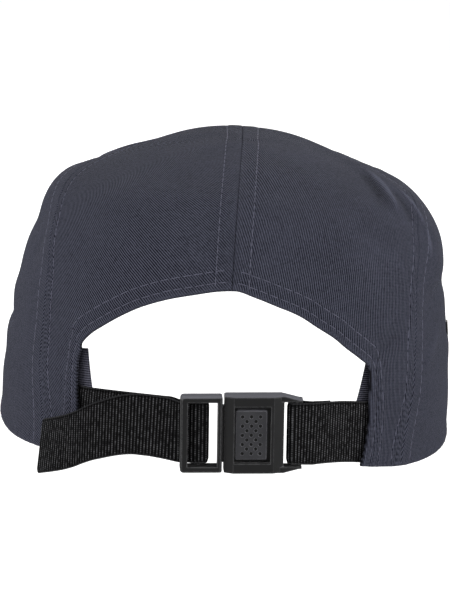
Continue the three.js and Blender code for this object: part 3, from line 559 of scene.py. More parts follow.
def twill_coordinates(round_run, up, angle, bend=0.0, middle=60.0):
    """The count of twill lines crossed, and the distance along them, for lines at an angle from level."""
    a = radians(angle)
    across = round_run * sin(a) - up * cos(a) + bend * round_run * (up - middle)
    along = round_run * cos(a) + up * sin(a)
    return np.stack([across / TWILL_PERIOD, along], -1)


def pucker(run, seed):
    """Small gathers along a seam, from -1 to 1."""
    slow = np.sin(run / 3.1 + seed)
    first = np.sin(2 * pi * run / 6.3 + 1.6 * slow + seed)
    second = np.sin(2 * pi * run / 3.9 + 1.1 * np.sin(run / 5.3 + 2 * seed))
    return 0.62 * first + 0.38 * second


def fine_folds(place, round_run, up):
    """The outer face's small folds and slow waves, with the painted highlight and shade along the folds."""
    height = np.zeros(place.shape[:-1])
    washed_and_painted_light = np.zeros(place.shape[:-1])
    for *fold, out, wear_and_painted_light in FINE_FOLDS:
        share, away = beside_fold(place, *fold)
        fade = np.sqrt(np.clip(np.sin(pi * np.clip(share, 0.02, 0.98)), 0, 1))
        shape = np.exp(-away * away) * fade
        height += out * shape
        # Painted highlight along raised creases; negative values paint shade beside folds
        washed_and_painted_light += wear_and_painted_light * shape * shape
    for along_round, along_up, start, out in WAVES:
        height += out * np.sin(round_run / along_round * 2 + up / along_up * 2 + start)
    return height, washed_and_painted_light


def seam_shape(distance, run, seed, calm):
    """A seam pressed open: a groove, the folded allowance beside it, a sunk stitch row and gathers."""
    row = SEAM_ROW
    groove = -0.4 * bell(distance, 0.36)
    allowance = 0.34 * (1 - smoothstep(distance, row - 0.4, row + 1.2))
    sunk = -0.26 * bell(distance - row, 0.6)
    gathers = 0.11 * pucker(run, seed) * bell(distance - row * 0.6, 3.2)
    return (groove + allowance) * calm + sunk + gathers


def edge_round(distance, radius=WALL / 2):
    """How far a rounded edge falls back at a distance from its end."""
    inside = np.clip(1 - distance / radius, 0, 1)
    return radius * (1 - np.sqrt(1 - inside**2))


def hem_shape(distance, run, seed, rows):
    """A turned hem: a round folded edge, the double layer and its sunk stitch rows."""
    deep = rows[-1]
    layer = 0.42 * (1 - smoothstep(distance, deep + 0.2, deep + 2.2))
    gathers = 0.10 * pucker(run * 1.15, seed) * bell(distance - deep * 0.6, 3.4)
    shape = layer - edge_round(distance) + gathers
    for row in rows:
        shape -= 0.24 * bell(distance - row, 0.65)
    return shape


class Nodes:
    """A material, and a short way to write its shader nodes."""

    def __init__(self, name):
        self.material = bpy.data.materials.new(name)
        self.material.use_nodes = True
        self.tree = self.material.node_tree
        self.tree.nodes.clear()

    def add(self, kind, inputs=None, **settings):
        node = self.tree.nodes.new(kind)
        for key, value in settings.items():
            setattr(node, key, value)
        for key, value in (inputs or {}).items():
            self.put(node.inputs[key], value)
        return node

    def put(self, socket, value):
        if isinstance(value, bpy.types.NodeSocket):
            self.tree.links.new(value, socket)
        else:
            socket.default_value = value

    def math(self, operation, a, b=0.0, c=0.0):
        node = self.add("ShaderNodeMath", operation=operation)
        for socket, value in zip(node.inputs, (a, b, c)):
            self.put(socket, value)
        return node.outputs[0]

    def times(self, a, b, plus=None):
        if plus is None:
            return self.math("MULTIPLY", a, b)
        return self.math("MULTIPLY_ADD", a, b, plus)

    def place(self):
        return self.add("ShaderNodeTexCoord").outputs["Object"]

    def parts(self, vector):
        return list(self.add("ShaderNodeSeparateXYZ", {0: vector}).outputs)

    def layer(self, name):
        """The two values of a UV layer."""
        return self.parts(self.add("ShaderNodeUVMap", uv_map=name).outputs[0])[:2]

    def noise(self, vector, scale, detail=2.0, rough=0.5):
        inputs = {"Vector": vector, "Scale": scale, "Detail": detail, "Roughness": rough}
        return self.add("ShaderNodeTexNoise", inputs).outputs["Fac"]

    def ramp(self, value, low, high, out_low, out_high):
        node = self.add("ShaderNodeMapRange", {"Value": value, "From Min": low, "From Max": high,
                                               "To Min": out_low, "To Max": out_high})
        return node.outputs[0]

    def mix(self, share, a, b):
        node = self.add("ShaderNodeMix", data_type="RGBA")
        self.put(node.inputs[0], share)
        self.put(node.inputs[6], a)
        self.put(node.inputs[7], b)
        return node.outputs[2]

    def bump(self, strength, distance, height, **more):
        inputs = {"Strength": strength, "Distance": distance, "Height": height, **more}
        return self.add("ShaderNodeBump", inputs).outputs[0]

    def finish(self, inputs):
        """Gives the material its surface."""
        surface = self.add("ShaderNodeBsdfPrincipled", inputs)
        self.put(self.add("ShaderNodeOutputMaterial").inputs[0], surface.outputs[0])
        return self.material


def linear(*rgb):
    """A colour given as it shows on screen, from 0 to 255."""
    parts = [c / 255 for c in rgb]
    return tuple(c / 12.92 if c <= 0.04045 else ((c + 0.055) / 1.055) ** 2.4 for c in parts) + (1.0,)


def twill_material(name, dark, light, contrast, fade=0.0, waver=0.5):
    """Twill of fine diagonal lines.

    fade weakens the lines from the wearer's left to the right, and waver bends them.
    """
    n = Nodes(name)
    place = n.place()
    lines, run = n.layer("weave")
    wear_and_painted_light, hidden = n.layer("wear_and_painted_light")
    phase = n.math("ADD", lines, n.times(n.noise(place, 260.0, 2.0), waver))
    wave = n.math("SINE", n.times(phase, 2 * pi))
    ridge = n.math("POWER", n.times(wave, 0.5, 0.5), 1.6)
    crossing = n.math("SINE", n.times(run, 2 * pi / YARN_PERIOD, n.times(phase, 3.1)))
    slub = n.ramp(n.noise(place, 700.0, 3.0, 0.65), 0.3, 0.7, 0.6, 1.4)
    yarn = n.times(n.times(crossing, 0.2, ridge), slub)
    washed_and_painted_light = n.noise(place, 30.0, 4.0, 0.6)
    mottle = n.noise(place, 1000.0, 2.0, 0.6)
    x, _, z = n.parts(place)
    high = n.ramp(z, 0.035, 0.085, 0.0, 1.0)
    sideways = n.ramp(x, -0.03, 0.06, 0.0, fade)
    strength = n.math("SUBTRACT", 1.9, n.times(high, n.math("ADD", sideways, 0.9)))
    strength = n.times(strength, n.math("SUBTRACT", 1.0, hidden))
    clear = n.times(n.ramp(washed_and_painted_light, 0.35, 0.65, 0.65 * contrast, 1.35 * contrast), strength)
    tone = n.times(n.math("SUBTRACT", yarn, 0.4), clear, 0.5)
    tone = n.times(n.math("SUBTRACT", n.noise(place, 55.0, 3.0, 0.6), 0.5), 0.45, tone)
    tone = n.times(n.math("SUBTRACT", mottle, 0.5), 0.8, tone)
    # Painted highlight on fold crests and rolled hem edges, and painted shade beside some folds
    tone = n.times(wear_and_painted_light, 0.45, tone)
    weave = n.bump(0.6, 0.00025, yarn)
    return n.finish({
        "Base Color": n.mix(n.ramp(tone, -0.15, 1.15, 0.0, 1.0), dark, light),
        "Roughness": 0.92, "Specular IOR Level": 0.1, "Sheen Weight": 0.03, "Sheen Roughness": 0.5,
        "Normal": n.bump(0.35, 0.00012, mottle, Normal=weave)})


def thread_material():
    n = Nodes("sewing_thread")
    tone = n.noise(n.place(), 700.0, 2.0)
    return n.finish({
        "Base Color": n.mix(tone, linear(78, 79, 94), linear(122, 122, 142)),
        "Roughness": 0.6, "Specular IOR Level": 0.3, "Normal": n.bump(0.3, 0.0001, tone)})


def webbing_material():
    """Black webbing: painted highlights on rib crowns and edges, painted shade between ribs and beside the
    edges.
    """
    n = Nodes("ribbed_webbing")
    ribs, across = n.layer("weave")
    ridge = n.times(n.math("SINE", n.times(ribs, 2 * pi)), 0.5, 0.5)
    number = n.math("FLOOR", ribs)
    nub_wave = n.math("SINE", n.times(across, 2 * pi / NUB_PITCH, n.times(number, pi)))
    nub = n.times(nub_wave, 0.5, 0.5)
    grain = n.noise(n.place(), 900.0, 3.0, 0.6)
    column = n.add("ShaderNodeCombineXYZ", {0: n.times(number, 7.3), 1: across})
    column = n.noise(column.outputs[0], 0.45, 2.0)
    height = n.times(ridge, n.times(nub, 0.3, 0.7))
    # Painted highlight on the rib crowns; between the ribs the colour stays near black as painted shade
    light = n.times(n.math("POWER", height, 5.0), n.ramp(grain, 0.3, 0.7, 0.3, 1.7))
    light = n.times(light, n.ramp(column, 0.35, 0.65, 0.25, 1.9))
    side = n.math("ABSOLUTE", across)
    # Painted shade line just inside each edge, then a painted highlight on the edge itself
    beside = n.ramp(side, STRAP_WIDTH / 2 - 1.3, STRAP_WIDTH / 2 - 0.9, 0.0, 0.8)
    webbing_edge_highlight = n.ramp(side, STRAP_WIDTH / 2 - 0.6, STRAP_WIDTH / 2 - 0.35, 0.0, 1.0)
    colour = n.mix(light, linear(1, 1, 2), linear(110, 110, 113))
    colour = n.mix(beside, colour, linear(4, 4, 5))
    colour = n.mix(n.times(webbing_edge_highlight, 0.9), colour, linear(66, 66, 68))
    return n.finish({"Base Color": colour, "Roughness": 0.6, "Specular IOR Level": 0.1,
                     "Normal": n.bump(0.7, 0.00025, height)})


def plastic_material(name, dark, light, grain_strength, edge=(92, 92, 94), edge_radius=0.0006):
    """Moulded plastic with a fine grain, a painted highlight along its edges and painted top light where it
    faces up.
    """
    n = Nodes(name)
    place = n.place()
    grain = n.noise(place, 2600.0, 3.0, 0.6)
    tone = n.noise(place, 120.0, 3.0)
    geometry = n.add("ShaderNodeNewGeometry").outputs
    soft_edge = n.add("ShaderNodeBevel", {"Radius": edge_radius}, samples=8).outputs[0]
    facing = n.add("ShaderNodeVectorMath", {0: geometry["Normal"], 1: soft_edge}, operation="DOT_PRODUCT")
    # Painted highlight along edges, where the rounded normal turns away from the face's own
    plastic_edge_highlight = n.ramp(facing.outputs["Value"], 0.9992, 0.975, 0.0, 0.9)
    plastic_edge_highlight = n.times(plastic_edge_highlight, n.ramp(n.noise(place, 900.0, 2.0), 0.35, 0.6, 0.3, 1.0))
    # Painted top light on faces turned up near the buckle's top
    painted_top_light = n.ramp(n.parts(soft_edge)[2], 0.25, 0.8, 0.0, 0.9)
    on_top = n.ramp(n.parts(geometry["Position"])[2], 0.030, 0.033, 0.0, 1.0)
    colour = n.mix(plastic_edge_highlight, n.mix(tone, dark, light), linear(*edge))
    colour = n.mix(n.times(painted_top_light, on_top), colour, linear(122, 122, 130))
    return n.finish({
        "Base Color": colour, "Roughness": n.ramp(tone, 0.3, 0.7, 0.40, 0.50), "Specular IOR Level": 0.4,
        "Sheen Weight": 0.35, "Sheen Roughness": 0.25,
        "Normal": n.bump(grain_strength, 0.0001, grain, Normal=soft_edge)})


def eyelet_material():
    n = Nodes("black_enamel")
    wear_and_painted_light = n.noise(n.place(), 600.0, 3.0)
    return n.finish({
        "Base Color": n.mix(n.ramp(wear_and_painted_light, 0.62, 0.75, 0.0, 1.0), linear(26, 26, 28), linear(70, 70, 72)),
        "Roughness": n.ramp(wear_and_painted_light, 0.3, 0.7, 0.22, 0.36), "Metallic": 0.3, "Coat Weight": 0.4,
        "Normal": n.add("ShaderNodeBevel", {"Radius": 0.0004}, samples=6).outputs[0]})


INDIGO = (linear(20, 21, 29), linear(92, 94, 110))
TWILL = twill_material("twill_cloth", *INDIGO, 2.0, 0.78)
FRONT_TWILL = twill_material("twill_front", *INDIGO, 0.9, 0.4, 2.2)
# The sweatband gets a lighter copy of the cloth's twill: painted light where the band sits in shade
PAINTED_LIGHT_BAND_TWILL = twill_material("twill_band_painted_light", linear(34, 34, 42), linear(118, 118, 134), 1.6)
THREAD = thread_material()
WEBBING = webbing_material()
PLASTIC = plastic_material("moulded_plastic", linear(21, 21, 22), linear(29, 29, 30), 0.22)
# The pad's lighter edge colour is a painted highlight round its rim and the dimples' rims
PAD_PLASTIC = plastic_material("grained_pad", linear(46, 46, 50), linear(72, 72, 76), 0.9,
                               (118, 118, 124), 0.0004)
# Dimples get a nearly black copy of the plastic: painted shade in the hollows
DIMPLE_PLASTIC = plastic_material("shaded_dimple", linear(8, 8, 8), linear(12, 12, 12), 0.1, (10, 10, 10))
ENAMEL = eyelet_material()


def build_object(name, points, faces, look, layers=None):
    """A mesh object from points in millimetres, riding on the cap."""
    mesh = bpy.data.meshes.new(name)
    mesh.from_pydata((points * MM).tolist(), [], faces)
    corners = np.zeros(len(mesh.loops), int)
    mesh.loops.foreach_get("vertex_index", corners)
    for layer_name, values in (layers or {}).items():
        mesh.uv_layers.new(name=layer_name).data.foreach_set("uv", values[corners].ravel())
    mesh.validate()
    mesh.polygons.foreach_set("use_smooth", np.ones(len(mesh.polygons), bool))
    mesh.materials.append(look)
    piece = bpy.data.objects.new(name, mesh)
    bpy.context.scene.collection.objects.link(piece)
    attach(piece, ROOT)
    return piece


def sheet_faces(rows, columns, keep):
    """Faces of a closed sheet: outer grid, matching inner grid, and walls where the kept cells end."""
    count = rows * columns
    index = np.arange(count).reshape(rows, columns)
    i, j = np.nonzero(keep)
    front = np.stack([index[i, j], index[i + 1, j], index[i + 1, j + 1], index[i, j + 1]], 1)
    parts = [front, front[:, [0, 3, 2, 1]] + count]
    ringed = np.pad(keep, 1)
    # Each side of a cell: where its neighbour lies in the padded grid, and the side's two corners
    sides = [((0, 1), (0, 1), (0, 0)), ((2, 1), (1, 0), (1, 1)),
             ((1, 0), (0, 0), (1, 0)), ((1, 2), (1, 1), (0, 1))]
    for (di, dj), start, end in sides:
        i, j = np.nonzero(keep & ~ringed[di:di + rows - 1, dj:dj + columns - 1])
        first = index[i + start[0], j + start[1]]
        second = index[i + end[0], j + end[1]]
        parts.append(np.stack([first, second, second + count, first + count], 1))
    return np.concatenate(parts)


def sheet_object(name, outer, inner, uv, look, keep=None, washed_and_painted_light=None, hidden=None):
    """A closed sheet between two grids of points. keep says which cells of the grid are cloth."""
    rows, columns = outer.shape[:2]
    faces = sheet_faces(rows, columns, np.ones((rows - 1, columns - 1), bool) if keep is None else keep)
    points = np.concatenate([outer.reshape(-1, 3), inner.reshape(-1, 3)])
    weave = np.tile(uv.reshape(-1, 2), (2, 1))
    # The second UV layer holds painted highlight and painted shade, then how far the twill lines are hidden
    wear_and_painted_light = np.zeros(weave.shape)
    for column, layer in enumerate((washed_and_painted_light, hidden)):
        if layer is not None:
            wear_and_painted_light[:layer.size, column] = layer.ravel()
    a, b, c, d = points[faces].transpose(1, 0, 2)
    volume = np.einsum("ij,ij->i", a, np.cross(b, c)).sum() + np.einsum("ij,ij->i", a, np.cross(c, d)).sum()
    if volume < 0:
        faces = faces[:, ::-1]
    used = np.unique(faces)
    renumber = np.zeros(len(points), int)
    renumber[used] = np.arange(len(used))
    layers = {"weave": weave[used], "wear_and_painted_light": wear_and_painted_light[used]}
    return build_object(name, points[used], renumber[faces].tolist(), look, layers)


def tube_faces(ids):
    """Faces between rings of point numbers."""
    onward = np.roll(ids, -1, axis=1)
    return np.stack([ids[:-1], onward[:-1], onward[1:], ids[1:]], -1).reshape(-1, 4).tolist()


class Sewing:
    """Collects stitches and makes them one mesh."""

    def __init__(self):
        self.points = []
        self.faces = []
        self.count = 0

    def row(self, line, normals, start=0.0):
        """A row of slightly uneven stitches. Each is a short thread that dips in at both ends."""
        run = run_along(line)
        total = run[-1]
        share = np.linspace(0, 1, THREAD_RINGS)
        arch = np.sin(pi * share) ** 0.4
        lift = THREAD_RADIUS * (1.1 * arch - 0.9)
        size = THREAD_RADIUS * (0.45 + 0.55 * np.sqrt(arch + 1e-9))
        angles = np.arange(THREAD_SIDES) * 2 * pi / THREAD_SIDES
        for k in range(int((total - start) / STITCH_PITCH)):
            uneven = sin(k * 2.4 + total) * 0.5 + sin(k * 0.9 + total * 2) * 0.5
            length = STITCH_LENGTH * (1 - 0.06 * uneven)
            at = start + k * STITCH_PITCH + (STITCH_PITCH - length) / 2 + share * length
            middle = read_line(at, run, line)
            normal = unit(read_line(at, run, normals))
            side = np.cross(unit(np.gradient(middle, axis=0)), normal)
            middle = middle + normal * lift[:, None] + side * (0.12 * uneven * (share - 0.5))[:, None]
            rings = (np.cos(angles)[None, :, None] * side[:, None] * 1.15
                     + np.sin(angles)[None, :, None] * normal[:, None])
            self.thread(middle[:, None] + size[:, None, None] * rings)

    def thread(self, rings):
        """A closed tube through rings of points."""
        ids = self.count + np.arange(THREAD_RINGS * THREAD_SIDES).reshape(THREAD_RINGS, THREAD_SIDES)
        self.count += ids.size
        self.points.append(rings.reshape(-1, 3))
        self.faces.extend(tube_faces(ids) + [ids[0, ::-1].tolist(), ids[-1].tolist()])

    def piece(self, name):
        return build_object(name, np.concatenate(self.points), self.faces, THREAD)


def line_at(panel, surface, edge, distance):
    """The line over a panel's surface at a distance from one of its edges, with its normals."""
    runs = getattr(panel, edge)
    grid, normals = surface, panel.normals
    if edge in ("first", "last"):
        runs, grid, normals = runs.T, grid.transpose(1, 0, 2), normals.transpose(1, 0, 2)
    if edge in ("high", "last"):
        runs, grid, normals = runs[:, ::-1], grid[:, ::-1], normals[:, ::-1]
    line, ups = [], []
    for run, points, upward in zip(runs, grid, normals):
        if run[-1] >= distance:
            line.append(read_line(distance, run, points))
            ups.append(read_line(distance, run, upward))
    line, ups = np.array(line), unit(np.array(ups))
    at = run_along(line)
    inside = (at >= ROW_END) & (at <= at[-1] - ROW_END)
    return line[inside], ups[inside]


def off_axis(points, centre, axis):
    """Distance of points from an axis."""
    off = points - centre
    return np.linalg.norm(off - (off @ axis)[..., None] * axis, axis=-1)


def panel_piece(name, panel, edges, angle, bend=0.0, wrap=0.0, holes=(), lap=0.0, look=TWILL):
    """Makes a sewn panel. edges says for each side of the panel whether it is a seam, a hem or the rim.

    lap slants the wall at the first edge sideways, the same way on both sides of the seam.
    """
    inner_rise = np.zeros(panel.low.shape)
    run_of = {"low": panel.first, "high": panel.first, "first": panel.low, "last": panel.low}
    round_run, up = arc_places(panel.map, wrap)
    height, washed_and_painted_light = fine_folds(panel.map, round_run, up)
    calm = 1 - QUIET_SEAM * smoothstep(from_map(panel.map)[0], 0.56, 0.70)
    hidden = np.zeros(height.shape)
    for number, (edge, kind) in enumerate(edges.items()):
        distance = getattr(panel, edge)
        seed = number * 2.1 + len(name)
        if kind == "seam":
            height += seam_shape(distance, run_of[edge], seed, calm)
            hidden = np.maximum(hidden, 0.6 * bell(distance, 2.6))
        else:
            rows = HEM_ROWS if kind == "hem" else RIM_SHAPE
            height += hem_shape(distance, run_of[edge], seed, rows)
            inner_rise += edge_round(distance)
            # Painted highlight along the rolled edge of hems and the rim
            washed_and_painted_light += 0.4 * bell(distance - 0.5, 0.7)
            hidden = np.maximum(hidden, 0.8 * bell(distance, 1.3))
    for hole in holes:
        height *= smoothstep(off_axis(panel.points, *hole), EYELET_HOLE, EYELET_CALM)
    surface = panel.points + panel.normals * height[..., None]
    inner = panel.points + panel.normals * (inner_rise - WALL)[..., None]
    inner[..., 0] += lap * bell(panel.first, SEAM_LAP_RUN)
    uv = twill_coordinates(round_run, up, angle, bend)
    keep = np.ones((surface.shape[0] - 1, surface.shape[1] - 1), bool)
    for hole in holes:
        keep &= off_axis((panel.points[:-1, :-1] + panel.points[1:, 1:]) / 2, *hole) > EYELET_HOLE
    piece = sheet_object(name, surface, inner, uv, look, keep, washed_and_painted_light, hidden)
    sewing = Sewing()
    for edge, kind in edges.items():
        rows = {"seam": (SEAM_ROW,), "hem": HEM_ROWS, "rim": ()}[kind]
        for row in rows:
            sewing.row(*line_at(panel, surface, edge, row), start=0.7 * row % 2)
    return piece, sewing.piece(name + "_stitches")


# Camera
elevation = radians(CAMERA_ELEVATION)
forward = Vector((0, cos(elevation), -sin(elevation)))
upward = Vector((0, sin(elevation), cos(elevation)))
rightward = Vector((1, 0, 0))
roll = radians(CAMERA_ROLL)
camera_up = upward * cos(roll) - rightward * sin(roll)
camera_right = rightward * cos(roll) + upward * sin(roll)
camera_data = bpy.data.cameras.new("camera")
camera_data.lens = CAMERA_LENS
camera_data.sensor_width = CAMERA_SENSOR
camera = bpy.data.objects.new("camera", camera_data)
bpy.context.scene.collection.objects.link(camera)
stand = -forward * CAMERA_DISTANCE
look = (camera_up * AIM_ABOVE_ORIGIN - stand).normalized()
axes = Matrix((camera_right, camera_right.cross(look), -look)).transposed()
camera.matrix_world = Matrix.Translation(stand * MM) @ axes.to_4x4()
bpy.context.scene.camera = camera

# Crown
back_left = back_panel(opening_left, -1)
back_right = back_panel(opening_right, 1)
BACK_EDGES = {"low": "hem", "high": "seam", "first": "seam", "last": "rim"}
SIDE_EDGES = {"low": "rim", "high": "seam", "first": "seam", "last": "seam"}


def eyelet_holes(side):
    """The centre and axis of each eyelet's hole in one side panel, from the CAD eyelets."""
    found = []
    for number in (1, 2):
        low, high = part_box(f"eyelet_{side}_{number}")
        centre = np.array((low + high) / 2) / MM
        found.append((centre, unit(centre * (1, 1, 0))))
    return found


pieces = {
    "back_panel_left": panel_piece("cloth_back_left", back_left, BACK_EDGES, 131, lap=SEAM_LAP),
    "back_panel_right": panel_piece("cloth_back_right", back_right, BACK_EDGES, 108, bend=-0.0035,
                                    lap=SEAM_LAP),
    "side_panel_right": panel_piece("cloth_side_right", side_panel(1), SIDE_EDGES, 62, wrap=1.0,
                                    holes=eyelet_holes("right")),
    "side_panel_left": panel_piece("cloth_side_left", side_panel(-1), SIDE_EDGES, 52, wrap=-1.0,
                                   holes=eyelet_holes("left")),
    "front_panel": panel_piece("cloth_front", front_panel(), SIDE_EDGES, 128, wrap=1.0, look=FRONT_TWILL),
}
for node, (piece, stitches) in pieces.items():
    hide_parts(node)


def place_on_crown(height, around):
    """The map's place at some height over the head opening."""
    along = solve(height, 0, 0.6, lambda share: crown_base(share, around)[..., 2])
    return to_map(along, around)


# Sweatband
DEGREE_LENGTH = pi * (HALF_WIDTH + BACK_REACH) / 360
band_start_right = around_of(opening_right(0.85))
band_start_left = -around_of(opening_left(0.85))


def sweatband():
    """The inner band, with two slanted ends that stand apart for the straps' sewn ends."""
    rows, columns = 360, 30
    start = band_start_right - BAND_END_SHOWN / DEGREE_LENGTH
    end = 360 - band_start_left + BAND_END_SHOWN / DEGREE_LENGTH
    up = np.linspace(0, 1, columns + 1)[None, :] * np.ones((rows + 1, 1))
    slant = BAND_END_SLANT * up / DEGREE_LENGTH
    around = lerp(start + slant, end - slant, np.linspace(0, 1, rows + 1)[:, None])
    in_run = np.minimum(around - start, end - around) * DEGREE_LENGTH - BAND_END_SHOWN - BAND_STRAP_RUN
    apart = 1 - smoothstep(in_run, 0, BAND_STRAP_RUN)
    rim = crown_base(0 * around, np.radians(around))[..., 2]
    height = rim + lerp(BAND_RAISED + BAND_END_RAISED * apart, BAND_RAISED + BAND_HEIGHT, up)
    place = place_on_crown(height, np.radians(around))
    offset = -WALL - CLEARANCE - (STRAP_WALL + CLEARANCE) * apart
    base = cloth(place, offset)
    normals = map_normal(place)
    length = up * (BAND_HEIGHT - BAND_RAISED)
    to_edge = np.minimum(length, length[:, ::-1])
    run = run_along(base)
    to_end = np.minimum(run, run[-1:] - run)
    nearest = np.minimum(to_edge, to_end)
    soft = edge_round(nearest) * BAND_WALL / WALL
    outer = base - normals * soft[..., None]
    inner = base - normals * (BAND_WALL - soft)[..., None]
    uv = twill_coordinates(run, length, 8)
    piece = sheet_object("cloth_sweatband", outer, inner, uv, PAINTED_LIGHT_BAND_TWILL)
    sewing = Sewing()
    for column in (2, columns - 2):
        sewing.row(inner[:, column], -normals[:, column])
    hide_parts("sweatband")
    return piece, sewing.piece("cloth_sweatband_stitches")


pieces["sweatband"] = sweatband()


# Peak
def peak():
    """The peak: a flat board that slopes down, covered in twill and sewn round its edge."""
    rows, columns = 180, 60
    corner = crown_base(0.0, radians(PEAK_START))
    corner_x = corner[0] - WALL
    tip = FRONT_REACH + PEAK_DEPTH
    around = np.radians(lerp(360 - PEAK_START, PEAK_START, np.linspace(0, 1, rows + 1)))
    place = to_map(0.0, around)
    start = map_base(place) - WALL * map_normal(place)
    start[:, 2] = crown_base(0 * around, around)[:, 2] - CLEARANCE
    inside = np.maximum(1 - np.abs(start[:, 0] / corner_x) ** PEAK_OUTLINE_POWER, 0)
    bulge = inside ** (1 / PEAK_OUTLINE_POWER)
    end = lerp(corner[1], tip, bulge) + PEAK_CORNER
    run = np.maximum(end - start[:, 1], PEAK_CORNER) - PEAK_CORNER * bulge
    share = np.linspace(0, 1, columns + 1)[None, :]
    out = share * run[:, None]
    top = start[:, None] + np.stack([0 * out, out, -tan(radians(PEAK_DROP)) * out], -1)
    side_run = run_along(top)
    edge = np.minimum(run[:, None] - out, np.minimum(side_run, side_run[-1:] - side_run) + out * 0.2)
    soft = edge_round(edge, PEAK_WALL / 2)
    groove = 0.2 * bell(edge - PEAK_ROW, 0.6)
    upper = top - np.stack([0 * out, 0 * out, soft + groove], -1)
    lower = top - np.stack([0 * out, 0 * out, PEAK_WALL - soft - groove], -1)
    uv = twill_coordinates(top[..., 0], out, 128)
    piece = sheet_object("cloth_peak", upper, lower, uv, FRONT_TWILL)
    sewing = Sewing()
    long_rows = np.nonzero(run > PEAK_ROW_FROM)[0]
    line = [read_line(PEAK_ROW, edge[k, ::-1], upper[k, ::-1]) for k in long_rows]
    sewing.row(np.array(line), np.tile((0.0, 0.0, 1.0), (len(line), 1)))
    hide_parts("peak")
    return piece, sewing.piece("cloth_peak_stitches")


pieces["peak"] = peak()

# Straps
LAYER_GAP = STRAP_WALL + CLEARANCE
load_layer_back = ADJUSTER_BAR_BACK + ADJUSTER_BAR_DEPTH / 2 + CLEARANCE + STRAP_WALL / 2
buckle_left = BUCKLE_X - BUCKLE_WIDTH / 2
buckle_right = buckle_left + BUCKLE_WIDTH
housing_left = FRAME_WIDTH + BUCKLE_GAP
strap_inset = -WALL - CLEARANCE - STRAP_WALL / 2


def strap_place(x, z):
    """The map's place at a sideways distance and a height, on the back of the crown."""
    x, z = np.broadcast_arrays(np.asarray(x, float), np.asarray(z, float))
    limit = radians(80)
    around = solve(x, -limit, limit, lambda angle: map_base(place_on_crown(z, angle))[..., 0])
    return place_on_crown(z, around), around


chord = cloth(strap_place([buckle_left, buckle_right], BUCKLE_Z)[0], np.full(2, strap_inset))
buckle_turn = atan2(chord[1, 1] - chord[0, 1], chord[1, 0] - chord[0, 0])
buckle_matrix = (Matrix.Translation((chord[0, 0], chord[0, 1], BUCKLE_Z))
                 @ Matrix.Rotation(buckle_turn, 4, "Z")
                 @ Matrix.Rotation(-radians(BUCKLE_ROLL), 4, "Y")
                 @ Matrix.Translation((0, -load_layer_back, 0)))


def stops_on_crown(x, z, offset):
    """Points of the strap's middle on the crown, with the way up along its width."""
    _, around = strap_place(x, z)
    low = cloth(place_on_crown(z - STRAP_WIDTH / 3, around), offset)
    high = cloth(place_on_crown(z + STRAP_WIDTH / 3, around), offset)
    return (low + high) / 2, unit(high - low)


def stops_at_buckle(xy, raised=0.0):
    middle = np.array([buckle_matrix @ Vector((x, y, raised)) for x, y in xy])
    return middle, np.tile(np.array(buckle_matrix.col[2][:3]), (len(xy), 1))


def turn_round(x, y, radius, direction):
    """Half a turn round a bar."""
    angles = pi / 2 - pi * np.arange(7) / 6
    return [(x + direction * radius * cos(a), y + radius * sin(a)) for a in angles]


def strap_height(x, edge):
    """Height of a strap's middle between the opening's edge and the buckle."""
    end = buckle_left if edge < 0 else buckle_right
    share = np.minimum(np.abs((x - edge) / (end - edge)), 1)
    rise = share * (2 - share)
    return np.where(x / edge > 1, STRAP_EDGE_HEIGHT, lerp(STRAP_EDGE_HEIGHT, STRAP_BESIDE_BUCKLE, rise))


def left_strap_stops():
    """From the panel to the buckle, round its bar, and back in front as the free end."""
    edge = -OPENING_LEFT
    leave = buckle_left - STRAP_LEAD
    x = np.linspace(edge - STRAP_SEWN, leave, 15)
    load = stops_on_crown(x, strap_height(x, edge), strap_inset)
    bar_radius = ADJUSTER_BAR_DEPTH / 2 + CLEARANCE + STRAP_WALL / 2
    wrap_x = ADJUSTER_BAR_X + ADJUSTER_BAR / 2 - ADJUSTER_BAR_DEPTH / 2
    front_layer = ADJUSTER_BAR_BACK - bar_radius
    under_bar = -FRAME_DEPTH / 2 + FRAME_BAR_DEPTH + CLEARANCE + STRAP_WALL / 2
    path = [(0, load_layer_back), (FRAME_BAR, load_layer_back), (wrap_x, load_layer_back)]
    path += turn_round(wrap_x, ADJUSTER_BAR_BACK, bar_radius, 1)[1:]
    path += [(ADJUSTER_BAR_X - ADJUSTER_BAR / 2, front_layer), (FRAME_BAR, under_bar), (0, under_bar)]
    bars = stops_at_buckle(path, STRAP_RAISED_LEFT)
    x = np.linspace(leave, -FREE_END_REACH, 15)
    out = (buckle_left - x) / (buckle_left + FREE_END_REACH)
    fall = np.array(FREE_END_FALL)
    z = lerp(STRAP_BESIDE_BUCKLE, FREE_END_HEIGHT, read_rows(fall[:, 0], fall[:, 1], out))
    under_offset = strap_inset + load_layer_back - under_bar
    over_panel = STRAP_WALL / 2 + FREE_END_STAND
    offset = lerp(under_offset, over_panel, smoothstep(out, 0.1, 0.6))
    lowest_read = STRAP_EDGE_HEIGHT - STRAP_WALL - FREE_END_STAND
    middle, across = stops_on_crown(x, np.maximum(z, lowest_read), offset)
    lean = radians(FREE_END_LEAN) * smoothstep(out, 0.3, 0.8)
    away = unit(middle * (1, 1, 0))
    middle[:, 2] = z
    middle += away * (np.sin(lean) * STRAP_WIDTH / 2)[:, None]
    slant = sin(radians(FREE_END_SLANT)) * smoothstep(out, 0.7, 1)
    leaning = np.stack([slant, -np.sin(lean), np.cos(lean)], -1)
    across = lerp(across, leaning, np.minimum(out * 3, 1)[:, None])
    return np.concatenate([load[0], bars[0], middle]), np.concatenate([load[1], bars[1], across])


